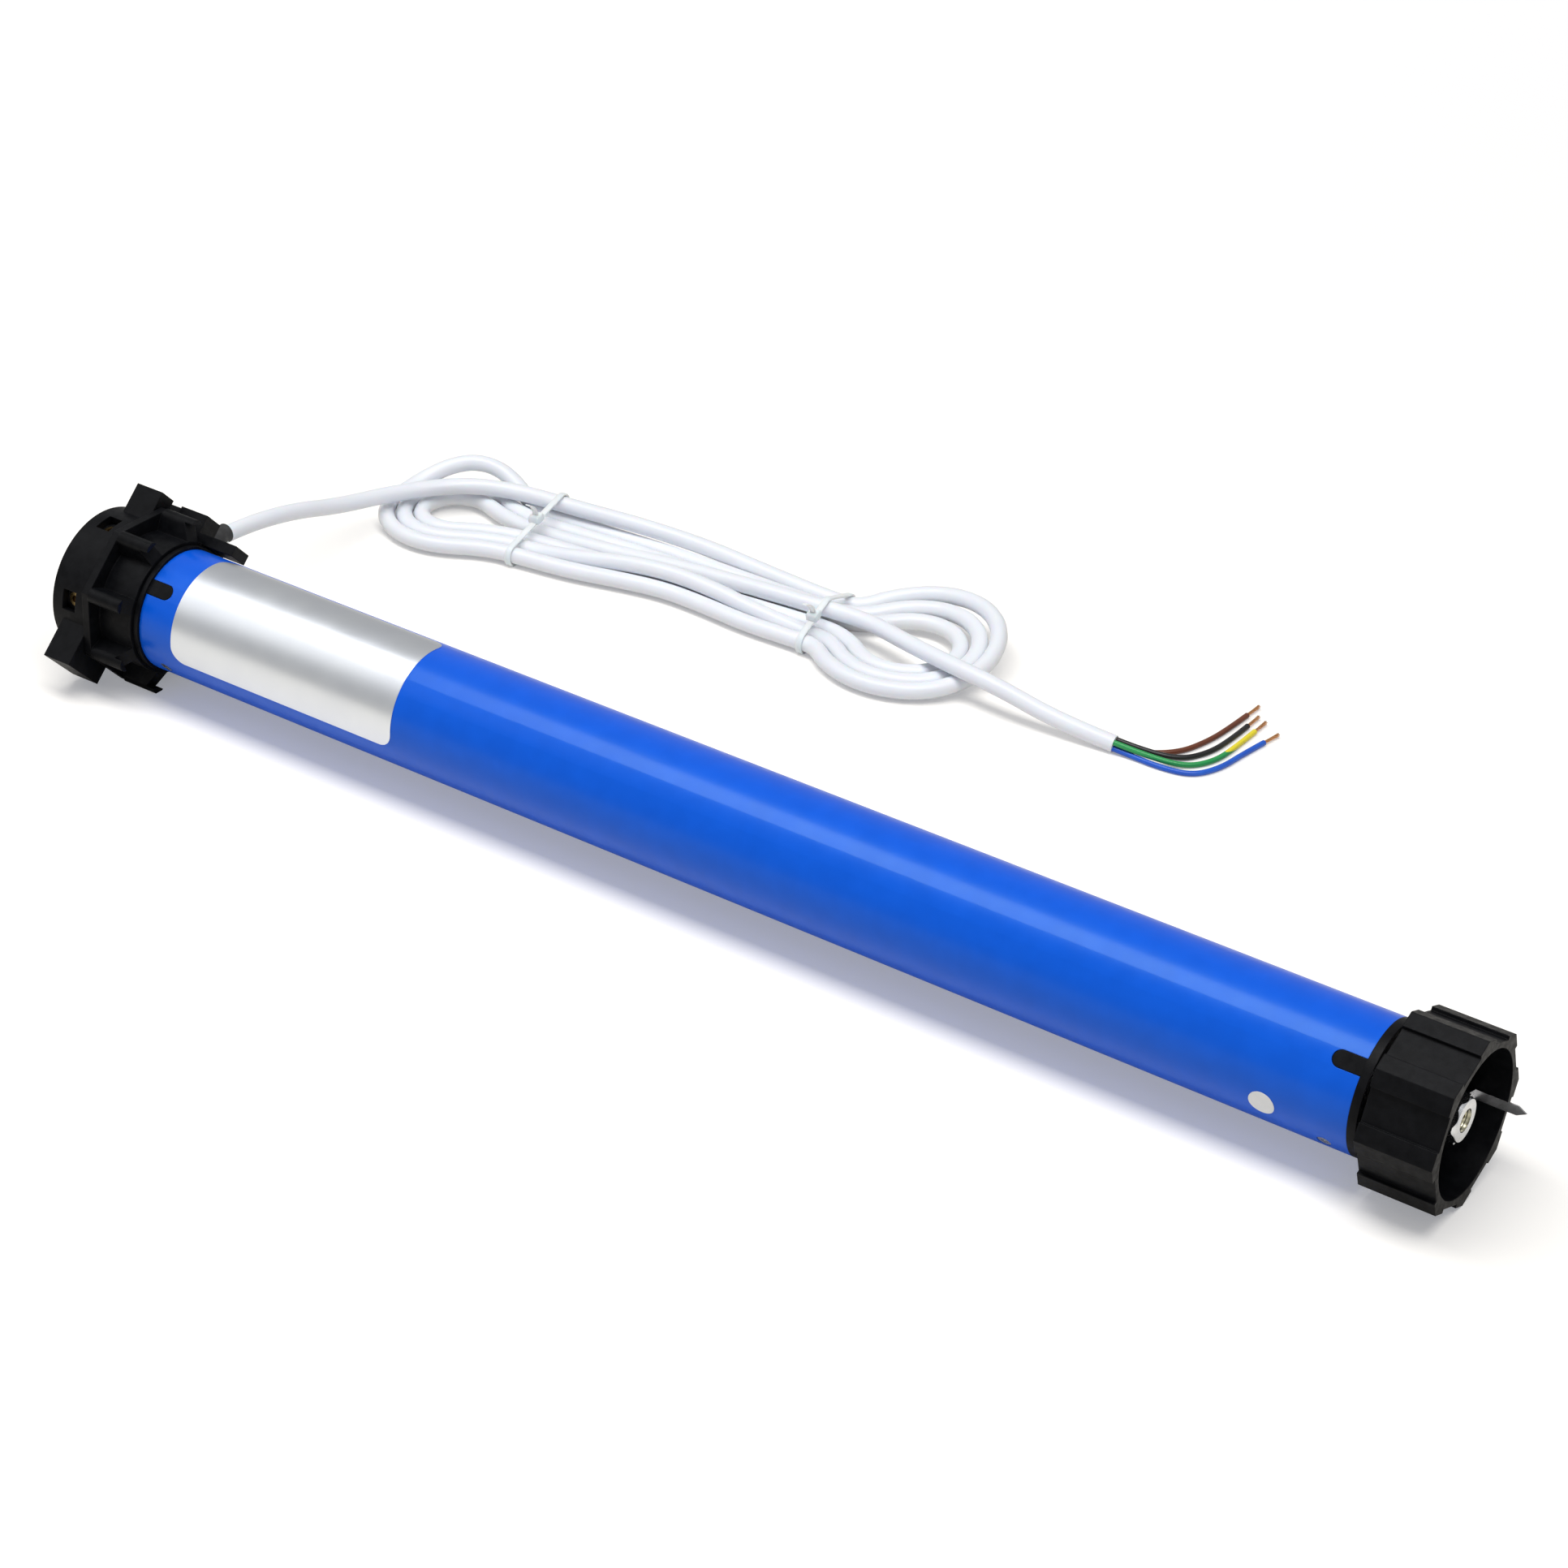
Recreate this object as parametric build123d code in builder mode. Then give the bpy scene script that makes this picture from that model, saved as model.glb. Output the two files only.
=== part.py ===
"""Tubular roller blind motor: a 45 mm tube motor with its head and crown at the left end, its
drive wheel at the right end, and its mains lead folded into a tied hank behind it."""

import os
from math import acos, atan2, ceil, cos, degrees, pi, radians, sin, sqrt, tan

from build123d import *

os.makedirs("parts", exist_ok=True)

# Motor tube, millimetres
tube_length = 480
tube_r = 22.5
tube_wall = 1.0
slot_width = 5.8
slot_depth = 10.4
slot_angle = 135
seat_gap = 0.2
overrun = 1.0

# Head: a fixed drum with two lugs, left of the tube
drum_r = 27.5
drum_wall = 2.4
drum_length = 16.7
crown_gap = 0.3
bulkhead = 3.0
neck_r = 17.0
neck_length = 10.0
cable_way_r = 9.0
end_cap_thickness = 3.5
lug_length = 12.0
lug_angle = 45
upper_lug_reach = 34.6
lower_lug_reach = 36.5
lug_near_side = 15.0
lower_lug_near_side = 17.3
lug_far_side = 2.2
lug_fin = 4.2
lug_pocket_depth = 6.0
fixing_pitch_r = 20.0
fixing_hole_r = 2.1
fixing_boss_r = 4.0
fixing_boss_length = 9.0
fixing_count = 4
window_spread = 35
window_length = 6.0
window_width = 7.6
window_depth = 3.2
adjuster_r = 2.5
adjuster_length = 8.0
adjuster_boss_r = 3.8
adjuster_socket = 2.5
adjuster_socket_depth = 2.2
screw_r = 1.5
screw_head_r = 2.8
screw_head_height = 1.6
post_r = 3.4
post_pitch_r = 12.0
gland_r = 5.0
gland_flange_r = 6.6
gland_flange = 1.8
gland_reach = 3.5
gland_depth = 5.5

# Crown: turns with the roller tube and drives the limit unit
crown_flats = 59.7
crown_plate = 3.0
crown_length = 14.7
crown_ring_r = 24.6
crown_rib_width = 5.6
crown_rib_slope = 3.0
crown_rib_count = 8
crown_key_r = 34.4
crown_key_width = 9.0
crown_key_length = 11.5
crown_tongue_r = 27.8
crown_tongue_length = 12.0
crown_tongue_pocket = 2.4
running_gap = 0.1

# Sleeve that carries the crown and plugs into the tube
sleeve_land_r = 20.0
sleeve_flange_r = 23.5
sleeve_flange = 2.0
spigot_length = 18.0

# Limit unit
limit_module = 0.5
crown_teeth = 72
pinion_teeth = 12
limit_gear_teeth = 40
cam_teeth = 36
limit_face = 5.0
pinion_shaft_r = 1.2
limit_start = 24.0
limit_length = 42.0
limit_disc = 4.0
limit_rail = 7.0
cam_disc_r = 7.6
cam_lobe = 1.0
cam_thickness = 4.0
spindle_r = 1.5
switch_width = 9.0
switch_height = 5.5
switch_length = 22.0
switch_inset = 2.5
plunger_r = 1.0
plunger_length = 3.6
plunger_stroke = 0.5
plunger_tip_gap = 0.4

# Wiring and capacitor
terminal_length = 14.0
terminal_width = 26.0
terminal_height = 18.0
terminal_count = 4
terminal_hole_r = 2.0
capacitor_start = 92.0
capacitor_length = 62.0
capacitor_rim = 2.0
capacitor_neck = 1.2

# Motor proper
shield_thickness = 12.0
front_shield_start = 178.0
stator_start = 200.0
rear_shield_gap = 3.0
stator_bore_r = 12.0
stator_slots = 12
slot_mouth = 1.6
stator_slot_width = 4.0
stator_slot_r = 18.4
winding_overhang = 7.0
winding_gap = 0.3
rotor_r = 11.6
rotor_end_r = 10.4
rotor_end_length = 5.0
rotor_shaft_r = 3.0
bearing_r = 8.0
bearing_width = 5.0
bearing_race = 1.5
bearing_groove = 1.0
brake_length = 36.0
brake_wall = 2.5
brake_core_r = 8.5
brake_core_length = 16.0
brake_plate = 3.0
brake_stroke = 0.4
brake_disc_r = 15.0
brake_disc_thickness = 4.0

# Planetary gearbox, two equal stages
gear_module = 0.6
sun_teeth = 12
planet_teeth = 24
ring_teeth = 60
planet_count = 3
pressure_angle = 25
backlash = 0.1
addendum_share = 0.85
dedendum_share = 1.2
gearbox_length = 90.0
gearbox_gap = 12.0
gearbox_wall = 4.0
stage_faces = (8.0, 13.0)
stage_gap = 1.5
carrier_thicknesses = (4.0, 5.5)
carrier_r = 14.6
planet_pin_r = 1.5
output_shaft_r = 7.0
shaft_hex = 14.0
hex_chamfer = 1.0

# Gearbox end cap and drive wheel, right of the tube
cap_flange = 3.0
cap_spigot = 28.0
wheel_gap = 2.7
wheel_length = 25.5
wheel_web = 3.8
wheel_hub_r = 11.0
wheel_hub_length = 10.5
wheel_mouth_r = 24.3
wheel_recess_flat = 26.3
wheel_recess_width = 11.2
shaft_reach = 24.8
hub_fit = 0.1
clip_thickness = 0.8
clip_width = 3.0
clip_fork_r = 10.4
clip_reach = 6.8
clip_groove = 1.2
pan_head_r = 4.4
pan_head_height = 1.7
shaft_screw_r = 2.0
shaft_screw_length = 12.0
cross_width = 1.1
cross_length = 4.6
cross_depth = 1.1

# Screws, label and sticker on the tube
tube_screw_r = 1.5
tube_screw_head_r = 2.3
tube_screw_length = 4.5
tube_screw_inset = 8.2
tube_screw_angle = 216
label_inset = 15.0
label_length = 100.0
label_thickness = 0.15
label_corner = 6.0
label_low_angle = 196
label_high_angle = 66
sticker_r = 4.4
sticker_inset = 28.5
sticker_angle = 196

# Mains lead: sheath, hank and cores
cord_r = 3.25
core_r = 1.05
hank_x = -143.5
hank_y = 175.5
hank_turn = 5.7
hank_half = 64.0
strand_pitch = 7.1
left_loop_r = 28.5
left_flare_r = 40.0
right_loop_r = 34.0
right_flare_r = 12.0
loop_count = 3
tail_straight = 18.0
tail_steps = ((37, -8.5, -0.2), (59, -16.5, 0.4), (83, -21.5, 0), (107, -22, -6.35))
tail_reach = 129.5
tail_side = -21.5
tie_thickness = 0.9
tie_width = 2.6
tie_gap = 0.35
tie_head = 4.6

# Stations along the axis, counted from the left end of the tube
drum_right = -(sleeve_flange + crown_gap + crown_length + crown_plate + crown_gap)
head_left = drum_right - drum_length
crown_left = drum_right + crown_gap
crown_face = crown_left + crown_plate
crown_right = crown_face + crown_length
wheel_left = tube_length + cap_flange + wheel_gap
wheel_right = wheel_left + wheel_length
clip_tip = wheel_right + clip_reach
wheel_corner_r = crown_flats / 2
plate_corner_r = wheel_corner_r / cos(radians(180 / crown_rib_count))
tube_bore_r = tube_r - tube_wall

# The axis lies level, as high as the crown's flat, and its box is centred on the origin
lug_front = (lower_lug_reach + lower_lug_near_side) * cos(radians(lug_angle))
axis_x = -(head_left + clip_tip) / 2
axis_y = (lug_front - drum_r - gland_reach) / 2
axis_z = wheel_corner_r


def across(station):
    """Plane square to the axis at a station, looking along +X, its own x along +Y."""
    return Plane(origin=(axis_x + station, axis_y, axis_z), x_dir=(0, 1, 0), z_dir=(1, 0, 0))


def outward(station, angle, reach):
    """Plane that faces out from the axis at an angle from +Y, at a distance from the axis."""
    way = Vector(0, cos(radians(angle)), sin(radians(angle)))
    spot = Vector(axis_x + station, axis_y, axis_z) + way * reach
    return Plane(origin=spot, x_dir=(1, 0, 0), z_dir=way)


def spoke(reach, angle):
    """Point at a radius and an angle, in the plane square to the axis."""
    return (reach * cos(radians(angle)), reach * sin(radians(angle)))


def tube_sketch(outer, inner):
    """Ring between two radii, drawn in the sketch that is open."""
    Circle(outer)
    Circle(inner, mode=Mode.SUBTRACT)


def involute(base_r, reach):
    """Angle in degrees that an involute of this base circle has turned at a radius."""
    if reach <= base_r:
        return 0
    roll = sqrt((reach / base_r) ** 2 - 1)
    return degrees(roll) - degrees(atan2(roll, 1))


def gear_points(teeth, module, phase, inner=False):
    """Outline of a spur gear, or of the hole of an internal one, a tooth centred on phase.

    Each flank has three points on the involute, and each tooth is thinner by the backlash."""
    pitch_r = teeth * module / 2
    base_r = pitch_r * cos(radians(pressure_angle))
    if inner:
        radii = [pitch_r + dedendum_share * module, pitch_r, pitch_r - addendum_share * module]
        half_tooth = degrees((pi * module / 2 - backlash) / 2 / pitch_r)
        sign = -1
    else:
        radii = [pitch_r - dedendum_share * module, pitch_r, pitch_r + addendum_share * module]
        half_tooth = degrees((pi * module / 2 - backlash) / 2 / pitch_r)
        sign = 1
    at_pitch = involute(base_r, pitch_r)
    halves = [half_tooth + sign * (at_pitch - involute(base_r, r)) for r in radii]
    points = []
    for tooth in range(teeth):
        middle = phase + tooth * 360 / teeth
        points += [spoke(r, middle - h) for r, h in zip(radii, halves)]
        points += [spoke(r, middle + h) for r, h in zip(radii[::-1], halves[::-1])]
    return points


def mesh_phase(phase, teeth, other_teeth, heading):
    """Phase of a gear that meshes with one whose phase is known, in a direction from it."""
    lead = phase - heading
    return heading + 180 - lead * teeth / other_teeth + 180 / other_teeth


def ring_phase(phase, teeth, ring, heading):
    """Phase of an internal gear's tooth, where a pinion of known phase sits in a direction."""
    gap = heading + (phase - heading) * teeth / ring
    return gap + 180 / ring


def shifted(points, place):
    """Outline moved to a place in its own plane."""
    return [(x + place[0], y + place[1]) for x, y in points]


def finish(builder, label):
    """Label a finished piece and write it."""
    builder.part.label = label
    export_step(builder.part, f"parts/{label}.step")


# Head housing: the drum with its bulkhead, neck, two lugs, bosses and windows
drum_bore_r = drum_r - drum_wall
window_station = head_left + end_cap_thickness + window_length / 2 + seat_gap + overrun
window_angles = (slot_angle - window_spread, slot_angle + window_spread)
gland_station = (head_left + end_cap_thickness + drum_right - bulkhead) / 2
lug_left = drum_right - lug_length
adjuster_top = drum_r - window_depth
neck_right = drum_right + neck_length
pinion_pitch_r = pinion_teeth * limit_module / 2
pinion_place_r = crown_teeth * limit_module / 2 - pinion_pitch_r
pinion_tip_r = pinion_pitch_r + addendum_share * limit_module
pinion_left = crown_left + crown_plate + overrun
pinion_pocket_r = pinion_tip_r + running_gap * 3

with BuildPart() as head_housing:
    with BuildSketch(across(head_left)):
        tube_sketch(drum_r, drum_bore_r)
    extrude(amount=drum_length)
    with BuildSketch(across(drum_right - bulkhead)):
        Circle(drum_bore_r + drum_wall / 2)
    extrude(amount=bulkhead)
    with BuildSketch(across(drum_right)):
        Circle(neck_r)
    extrude(amount=neck_length)
    # Lugs, both on the diagonal, each with its near side in one plane
    with BuildSketch(across(lug_left)):
        with Locations(Rotation(0, 0, lug_angle)):
            with Locations((upper_lug_reach / 2, (lug_near_side - lug_far_side) / 2)):
                Rectangle(upper_lug_reach, lug_near_side + lug_far_side)
        with Locations(Rotation(0, 0, lug_angle)):
            with Locations((-lower_lug_reach / 2, (lower_lug_near_side - lug_far_side) / 2)):
                Rectangle(lower_lug_reach, lower_lug_near_side + lug_far_side)
        Circle(drum_bore_r + drum_wall / 2, mode=Mode.SUBTRACT)
    extrude(amount=lug_length)
    with BuildSketch(across(lug_left)):
        with Locations(Rotation(0, 0, lug_angle)):
            with Locations((upper_lug_reach, (lug_near_side - 2 * lug_fin) / 2)):
                Rectangle(lug_pocket_depth, lug_near_side - 2 * lug_fin + lug_far_side / 2)
    extrude(amount=lug_length, mode=Mode.SUBTRACT)
    # Inside bosses for the two limit screws
    for angle in window_angles:
        with BuildSketch(outward(window_station, angle, post_pitch_r)):
            Circle(adjuster_boss_r)
        extrude(amount=drum_bore_r - post_pitch_r + drum_wall / 2)
    # Posts that take the end cap's screws
    with BuildSketch(across(head_left + end_cap_thickness)):
        with Locations((0, post_pitch_r), (0, -post_pitch_r)):
            Circle(post_r)
    extrude(amount=drum_length - end_cap_thickness - bulkhead)
    # Windows and bores for the limit screws
    for angle in window_angles:
        with BuildSketch(outward(window_station, angle, adjuster_top)):
            Rectangle(window_length, window_width)
        extrude(amount=window_depth + overrun, mode=Mode.SUBTRACT)
        with BuildSketch(outward(window_station, angle, adjuster_top - adjuster_length)):
            Circle(adjuster_r + running_gap)
        extrude(amount=adjuster_length + overrun, mode=Mode.SUBTRACT)
    # Hole for the gland, cable way, screw holes and the pinion's pocket and bore
    with BuildSketch(outward(gland_station, 0, drum_bore_r - gland_depth)):
        Circle(gland_r + running_gap)
    extrude(amount=gland_depth + drum_wall + overrun, mode=Mode.SUBTRACT)
    with BuildSketch(across(drum_right - bulkhead)):
        Circle(cable_way_r)
    extrude(amount=bulkhead + neck_length, mode=Mode.SUBTRACT)
    with BuildSketch(across(head_left + end_cap_thickness)):
        with Locations((0, post_pitch_r), (0, -post_pitch_r)):
            Circle(screw_r)
    extrude(amount=drum_length - end_cap_thickness - bulkhead, mode=Mode.SUBTRACT)
    with BuildSketch(across(pinion_left - running_gap * 3)):
        with Locations((0, pinion_place_r)):
            Circle(pinion_pocket_r)
    extrude(amount=neck_length, mode=Mode.SUBTRACT)
    sleeve_screw_spots = [spoke(cable_way_r + screw_head_r + overrun, a) for a in (210, 330)]
    with BuildSketch(across(neck_right - neck_length * 0.8)):
        with Locations(*sleeve_screw_spots):
            Circle(screw_r)
    extrude(amount=neck_length, mode=Mode.SUBTRACT)
finish(head_housing, "head_housing")

# End cap: closes the drum and carries the four fixing holes
fixing_angles = [lug_angle + i * 360 / fixing_count for i in range(fixing_count)]
fixing_spots = [spoke(fixing_pitch_r, a) for a in fixing_angles]
with BuildPart() as head_end_cap:
    with BuildSketch(across(head_left)):
        Circle(drum_bore_r - running_gap)
    extrude(amount=end_cap_thickness)
    with BuildSketch(across(head_left + end_cap_thickness)):
        with Locations(*fixing_spots):
            Circle(fixing_boss_r)
    extrude(amount=fixing_boss_length)
    with BuildSketch(across(head_left)):
        with Locations(*fixing_spots):
            Circle(fixing_hole_r)
    extrude(amount=end_cap_thickness + fixing_boss_length, mode=Mode.SUBTRACT)
    with Locations(across(head_left)):
        with Locations(Rotation(180, 0, 0)):
            with Locations((0, post_pitch_r, 0), (0, -post_pitch_r, 0)):
                CounterSinkHole(screw_r + running_gap, screw_head_r + running_gap, end_cap_thickness, 90)
finish(head_end_cap, "head_end_cap")


def at_spot(plane, spot):
    """The same plane with its origin moved to a spot on it."""
    origin = plane.origin + plane.x_dir * spot[0] + plane.y_dir * spot[1]
    return Plane(origin=origin, x_dir=plane.x_dir, z_dir=plane.z_dir)


with BuildPart() as head_screws:
    for side in (post_pitch_r, -post_pitch_r):
        seat = at_spot(across(head_left), (0, side))
        with Locations(seat):
            Cone(
                screw_head_r,
                screw_r,
                screw_head_r - screw_r,
                align=(Align.CENTER, Align.CENTER, Align.MIN),
            )
        with BuildSketch(seat):
            Circle(screw_r)
        extrude(amount=drum_length - bulkhead)
        with BuildSketch(seat):
            Rectangle(screw_head_r, screw_head_r / 4)
            Rectangle(screw_head_r / 4, screw_head_r)
        extrude(amount=(screw_head_r - screw_r) / 2, mode=Mode.SUBTRACT)
finish(head_screws, "head_screws")

# Cable gland in the drum's far side, with a blind seat for the sheath
gland_seat = drum_r
with BuildPart() as cable_gland:
    with BuildSketch(outward(gland_station, 0, drum_bore_r - gland_depth + overrun)):
        Circle(gland_r)
    extrude(amount=gland_depth - overrun + drum_wall)
    with BuildSketch(outward(gland_station, 0, drum_r + running_gap)):
        Circle(gland_flange_r)
    extrude(amount=gland_flange)
    with BuildSketch(outward(gland_station, 0, drum_r - running_gap)):
        Circle(gland_r)
    extrude(amount=gland_reach)
    with BuildSketch(outward(gland_station, 0, gland_seat)):
        Circle(cord_r + running_gap)
    extrude(amount=gland_reach + overrun, mode=Mode.SUBTRACT)
finish(cable_gland, "cable_gland")

# Limit screws, one behind each window, with a hexagon socket
for name, angle in zip(("limit_screw_up", "limit_screw_down"), window_angles):
    with BuildPart() as limit_screw:
        with BuildSketch(outward(window_station, angle, adjuster_top - adjuster_length)):
            Circle(adjuster_r)
        extrude(amount=adjuster_length)
        with BuildSketch(outward(window_station, angle, adjuster_top)):
            RegularPolygon(adjuster_socket / 2, 6, major_radius=False)
        extrude(amount=-adjuster_socket_depth, mode=Mode.SUBTRACT)
    finish(limit_screw, name)

# Limit gear train: places and phases, from the crown's internal gear to the cams
pinion_place = spoke(pinion_place_r, 90)
limit_gear_drop = limit_module * (pinion_teeth + limit_gear_teeth) / 2
limit_gear_place = (0, pinion_place_r - limit_gear_drop)
cam_distance = limit_module * (pinion_teeth + cam_teeth) / 2
cam_headings = (210, 330)
cam_places = [
    (limit_gear_place[0] + spoke(cam_distance, a)[0], limit_gear_place[1] + spoke(cam_distance, a)[1])
    for a in cam_headings
]
pinion_phase = 90
crown_phase = ring_phase(pinion_phase, pinion_teeth, crown_teeth, 90)
limit_gear_phase = mesh_phase(pinion_phase, pinion_teeth, limit_gear_teeth, 270)
small_phase = 90
cam_phases = [mesh_phase(small_phase, pinion_teeth, cam_teeth, a) for a in cam_headings]

# Crown: octagonal stop plate, ribbed ring, key and the internal gear
crown_gear_right = neck_right - overrun
crown_bore_r = sleeve_land_r + running_gap
crown_tip_r = crown_teeth * limit_module / 2 - addendum_share * limit_module
rib_headings = [22.5 + i * 360 / crown_rib_count for i in range(crown_rib_count)]
key_heading = 45
with BuildPart() as crown:
    with BuildSketch(across(crown_left)):
        RegularPolygon(plate_corner_r, crown_rib_count, rotation=rib_headings[0])
    extrude(amount=crown_plate)
    with BuildSketch(across(crown_face)):
        Circle(crown_ring_r)
    extrude(amount=crown_length)
    # Ribs with round tops, then a slope that takes them down at the tube end
    with BuildSketch(across(crown_face)):
        for heading in rib_headings:
            with Locations(Rotation(0, 0, heading)):
                with Locations(((crown_ring_r + wheel_corner_r) / 2 - crown_rib_width / 4, 0)):
                    SlotOverall(
                        wheel_corner_r - crown_ring_r + crown_rib_width * 1.5,
                        crown_rib_width,
                    )
    extrude(amount=crown_length)
    with BuildSketch(Plane(origin=(axis_x + crown_right, axis_y, axis_z), x_dir=(1, 0, 0), z_dir=(0, -1, 0))):
        with BuildLine():
            Polyline(
                (0, crown_ring_r),
                (0, wheel_corner_r + overrun),
                (-crown_rib_slope * (wheel_corner_r + overrun - crown_ring_r)
                 / (wheel_corner_r - crown_ring_r), wheel_corner_r + overrun),
                close=True,
            )
        make_face()
    revolve(axis=Axis((axis_x, axis_y, axis_z), (1, 0, 0)), mode=Mode.SUBTRACT)
    # Key between two ribs, tall beside the plate, then a tongue that reaches over the tube
    with BuildSketch(across(crown_face - overrun)):
        with Locations(Rotation(0, 0, key_heading)):
            with Locations(((crown_ring_r + crown_key_r) / 2 - overrun, 0)):
                Rectangle(crown_key_r - crown_ring_r + 2 * overrun, crown_key_width)
    extrude(amount=crown_key_length + overrun)
    tongue_low_r = sleeve_flange_r + crown_gap
    with BuildSketch(across(crown_face)):
        with Locations(Rotation(0, 0, key_heading)):
            with Locations(((tongue_low_r + crown_tongue_r) / 2, 0)):
                Rectangle(crown_tongue_r - tongue_low_r, crown_key_width)
    extrude(amount=crown_tongue_length - crown_face)
    with BuildSketch(outward(crown_tongue_length / 2, key_heading, crown_tongue_r)):
        Rectangle(crown_tongue_length / 2, crown_key_width / 2)
    extrude(amount=-crown_tongue_pocket, mode=Mode.SUBTRACT)
    # Bores: over the neck, the internal gear, and the running land on the sleeve
    with BuildSketch(across(crown_left)):
        Circle(neck_r + running_gap * 3)
    extrude(amount=crown_plate + crown_length, mode=Mode.SUBTRACT)
    with BuildSketch(across(crown_gear_right)):
        Circle(crown_bore_r)
    extrude(amount=crown_right - crown_gear_right, mode=Mode.SUBTRACT)
    with BuildSketch(across(pinion_left - running_gap * 3)):
        Polygon(*gear_points(crown_teeth, limit_module, crown_phase, inner=True))
    extrude(amount=crown_gear_right - pinion_left + running_gap * 3, mode=Mode.SUBTRACT)
finish(crown, "crown")

# Sleeve: running land for the crown, flange against the tube, and a keyed spigot in the tube
key_length = slot_depth - running_gap
with BuildPart() as head_sleeve:
    with BuildSketch(across(neck_right)):
        Circle(sleeve_land_r)
    extrude(amount=-sleeve_flange - neck_right)
    with BuildSketch(across(-sleeve_flange)):
        Circle(sleeve_flange_r)
    extrude(amount=sleeve_flange)
    with BuildSketch(across(0)):
        Circle(tube_bore_r - running_gap)
    extrude(amount=spigot_length)
    with BuildSketch(outward(0, slot_angle, tube_bore_r - tube_wall)):
        with Locations((key_length / 2 - slot_width / 4, 0)):
            Rectangle(key_length - slot_width / 2, slot_width - 2 * running_gap)
        with Locations((key_length - slot_width / 2, 0)):
            Circle(slot_width / 2 - running_gap)
    extrude(amount=2 * tube_wall)
    with BuildSketch(across(neck_right)):
        Circle(cable_way_r)
        with Locations(pinion_place):
            Circle(pinion_shaft_r + running_gap)
    extrude(amount=spigot_length - neck_right, mode=Mode.SUBTRACT)
    with Locations(across(spigot_length)):
        with Locations(*sleeve_screw_spots):
            CounterBoreHole(
                screw_r + running_gap,
                screw_head_r + running_gap,
                spigot_length - screw_head_height,
                spigot_length - neck_right,
            )
    for angle in (tube_screw_angle, tube_screw_angle - 180):
        with BuildSketch(outward(tube_screw_inset, angle, tube_r - tube_screw_length)):
            Circle(tube_screw_r)
        extrude(amount=tube_screw_length, mode=Mode.SUBTRACT)
finish(head_sleeve, "head_sleeve")

# Two screws that join the sleeve to the neck
with BuildPart() as sleeve_screws:
    for spot in sleeve_screw_spots:
        with BuildSketch(at_spot(across(neck_right - neck_length * 0.7), spot)):
            Circle(screw_r)
        extrude(amount=neck_length * 0.7 - neck_right + screw_head_height)
        with BuildSketch(at_spot(across(screw_head_height), spot)):
            Circle(screw_head_r)
        extrude(amount=screw_head_height)
        with BuildSketch(at_spot(across(2 * screw_head_height), spot)):
            RegularPolygon(screw_r / 2, 6)
        extrude(amount=-screw_head_height / 2, mode=Mode.SUBTRACT)
finish(sleeve_screws, "sleeve_screws")

# Pinion shaft: a pinion in the crown at one end, one in the limit unit at the other
limit_gear_station = limit_start + limit_disc + overrun
cam_station = limit_gear_station + limit_face + overrun
with BuildPart() as limit_pinion:
    with BuildSketch(across(pinion_left)):
        Polygon(*shifted(gear_points(pinion_teeth, limit_module, pinion_phase), pinion_place))
    extrude(amount=crown_gear_right - pinion_left - running_gap * 3)
    with BuildSketch(at_spot(across(pinion_left), pinion_place)):
        Circle(pinion_shaft_r)
    extrude(amount=limit_gear_station + limit_face - pinion_left + overrun)
    with BuildSketch(across(limit_gear_station)):
        Polygon(*shifted(gear_points(pinion_teeth, limit_module, pinion_phase), pinion_place))
    extrude(amount=limit_face)
finish(limit_pinion, "limit_pinion")

# Limit frame: two discs joined by three rails, with fixed spindles for the gears
limit_frame_r = tube_bore_r - seat_gap
limit_end = limit_start + limit_length
switch_station = cam_station + limit_face + 2 * overrun
with BuildPart() as limit_frame:
    for station in (limit_start, limit_end - limit_disc):
        with BuildSketch(across(station)):
            Circle(limit_frame_r)
        extrude(amount=limit_disc)
    with BuildSketch(across(limit_start)):
        Circle(limit_frame_r)
        Circle(limit_frame_r - 2 * tube_wall, mode=Mode.SUBTRACT)
        with PolarLocations(limit_frame_r, 3, start_angle=30):
            Rectangle(2 * limit_rail, 2 * limit_rail, mode=Mode.INTERSECT)
    extrude(amount=limit_length)
    with BuildSketch(across(limit_start)):
        with Locations(limit_gear_place, *cam_places):
            Circle(spindle_r)
    extrude(amount=limit_length)
    with BuildSketch(across(limit_start)):
        with Locations(pinion_place):
            Circle(pinion_shaft_r + running_gap)
        with Locations(spoke(limit_frame_r * 0.7, 60), spoke(limit_frame_r * 0.7, 120)):
            Circle(terminal_hole_r)
    extrude(amount=limit_disc, mode=Mode.SUBTRACT)
finish(limit_frame, "limit_frame")

# Compound gear: 40 teeth for the pinion, 12 teeth for the cams
with BuildPart() as limit_gear:
    with BuildSketch(across(limit_gear_station)):
        Polygon(
            *shifted(gear_points(limit_gear_teeth, limit_module, limit_gear_phase), limit_gear_place)
        )
    extrude(amount=limit_face)
    with BuildSketch(across(limit_gear_station + limit_face)):
        Polygon(*shifted(gear_points(pinion_teeth, limit_module, small_phase), limit_gear_place))
    extrude(amount=limit_face + overrun)
    with BuildSketch(at_spot(across(limit_gear_station), limit_gear_place)):
        Circle(spindle_r + running_gap)
    extrude(amount=2 * limit_face + overrun, mode=Mode.SUBTRACT)
finish(limit_gear, "limit_gear")

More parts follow.
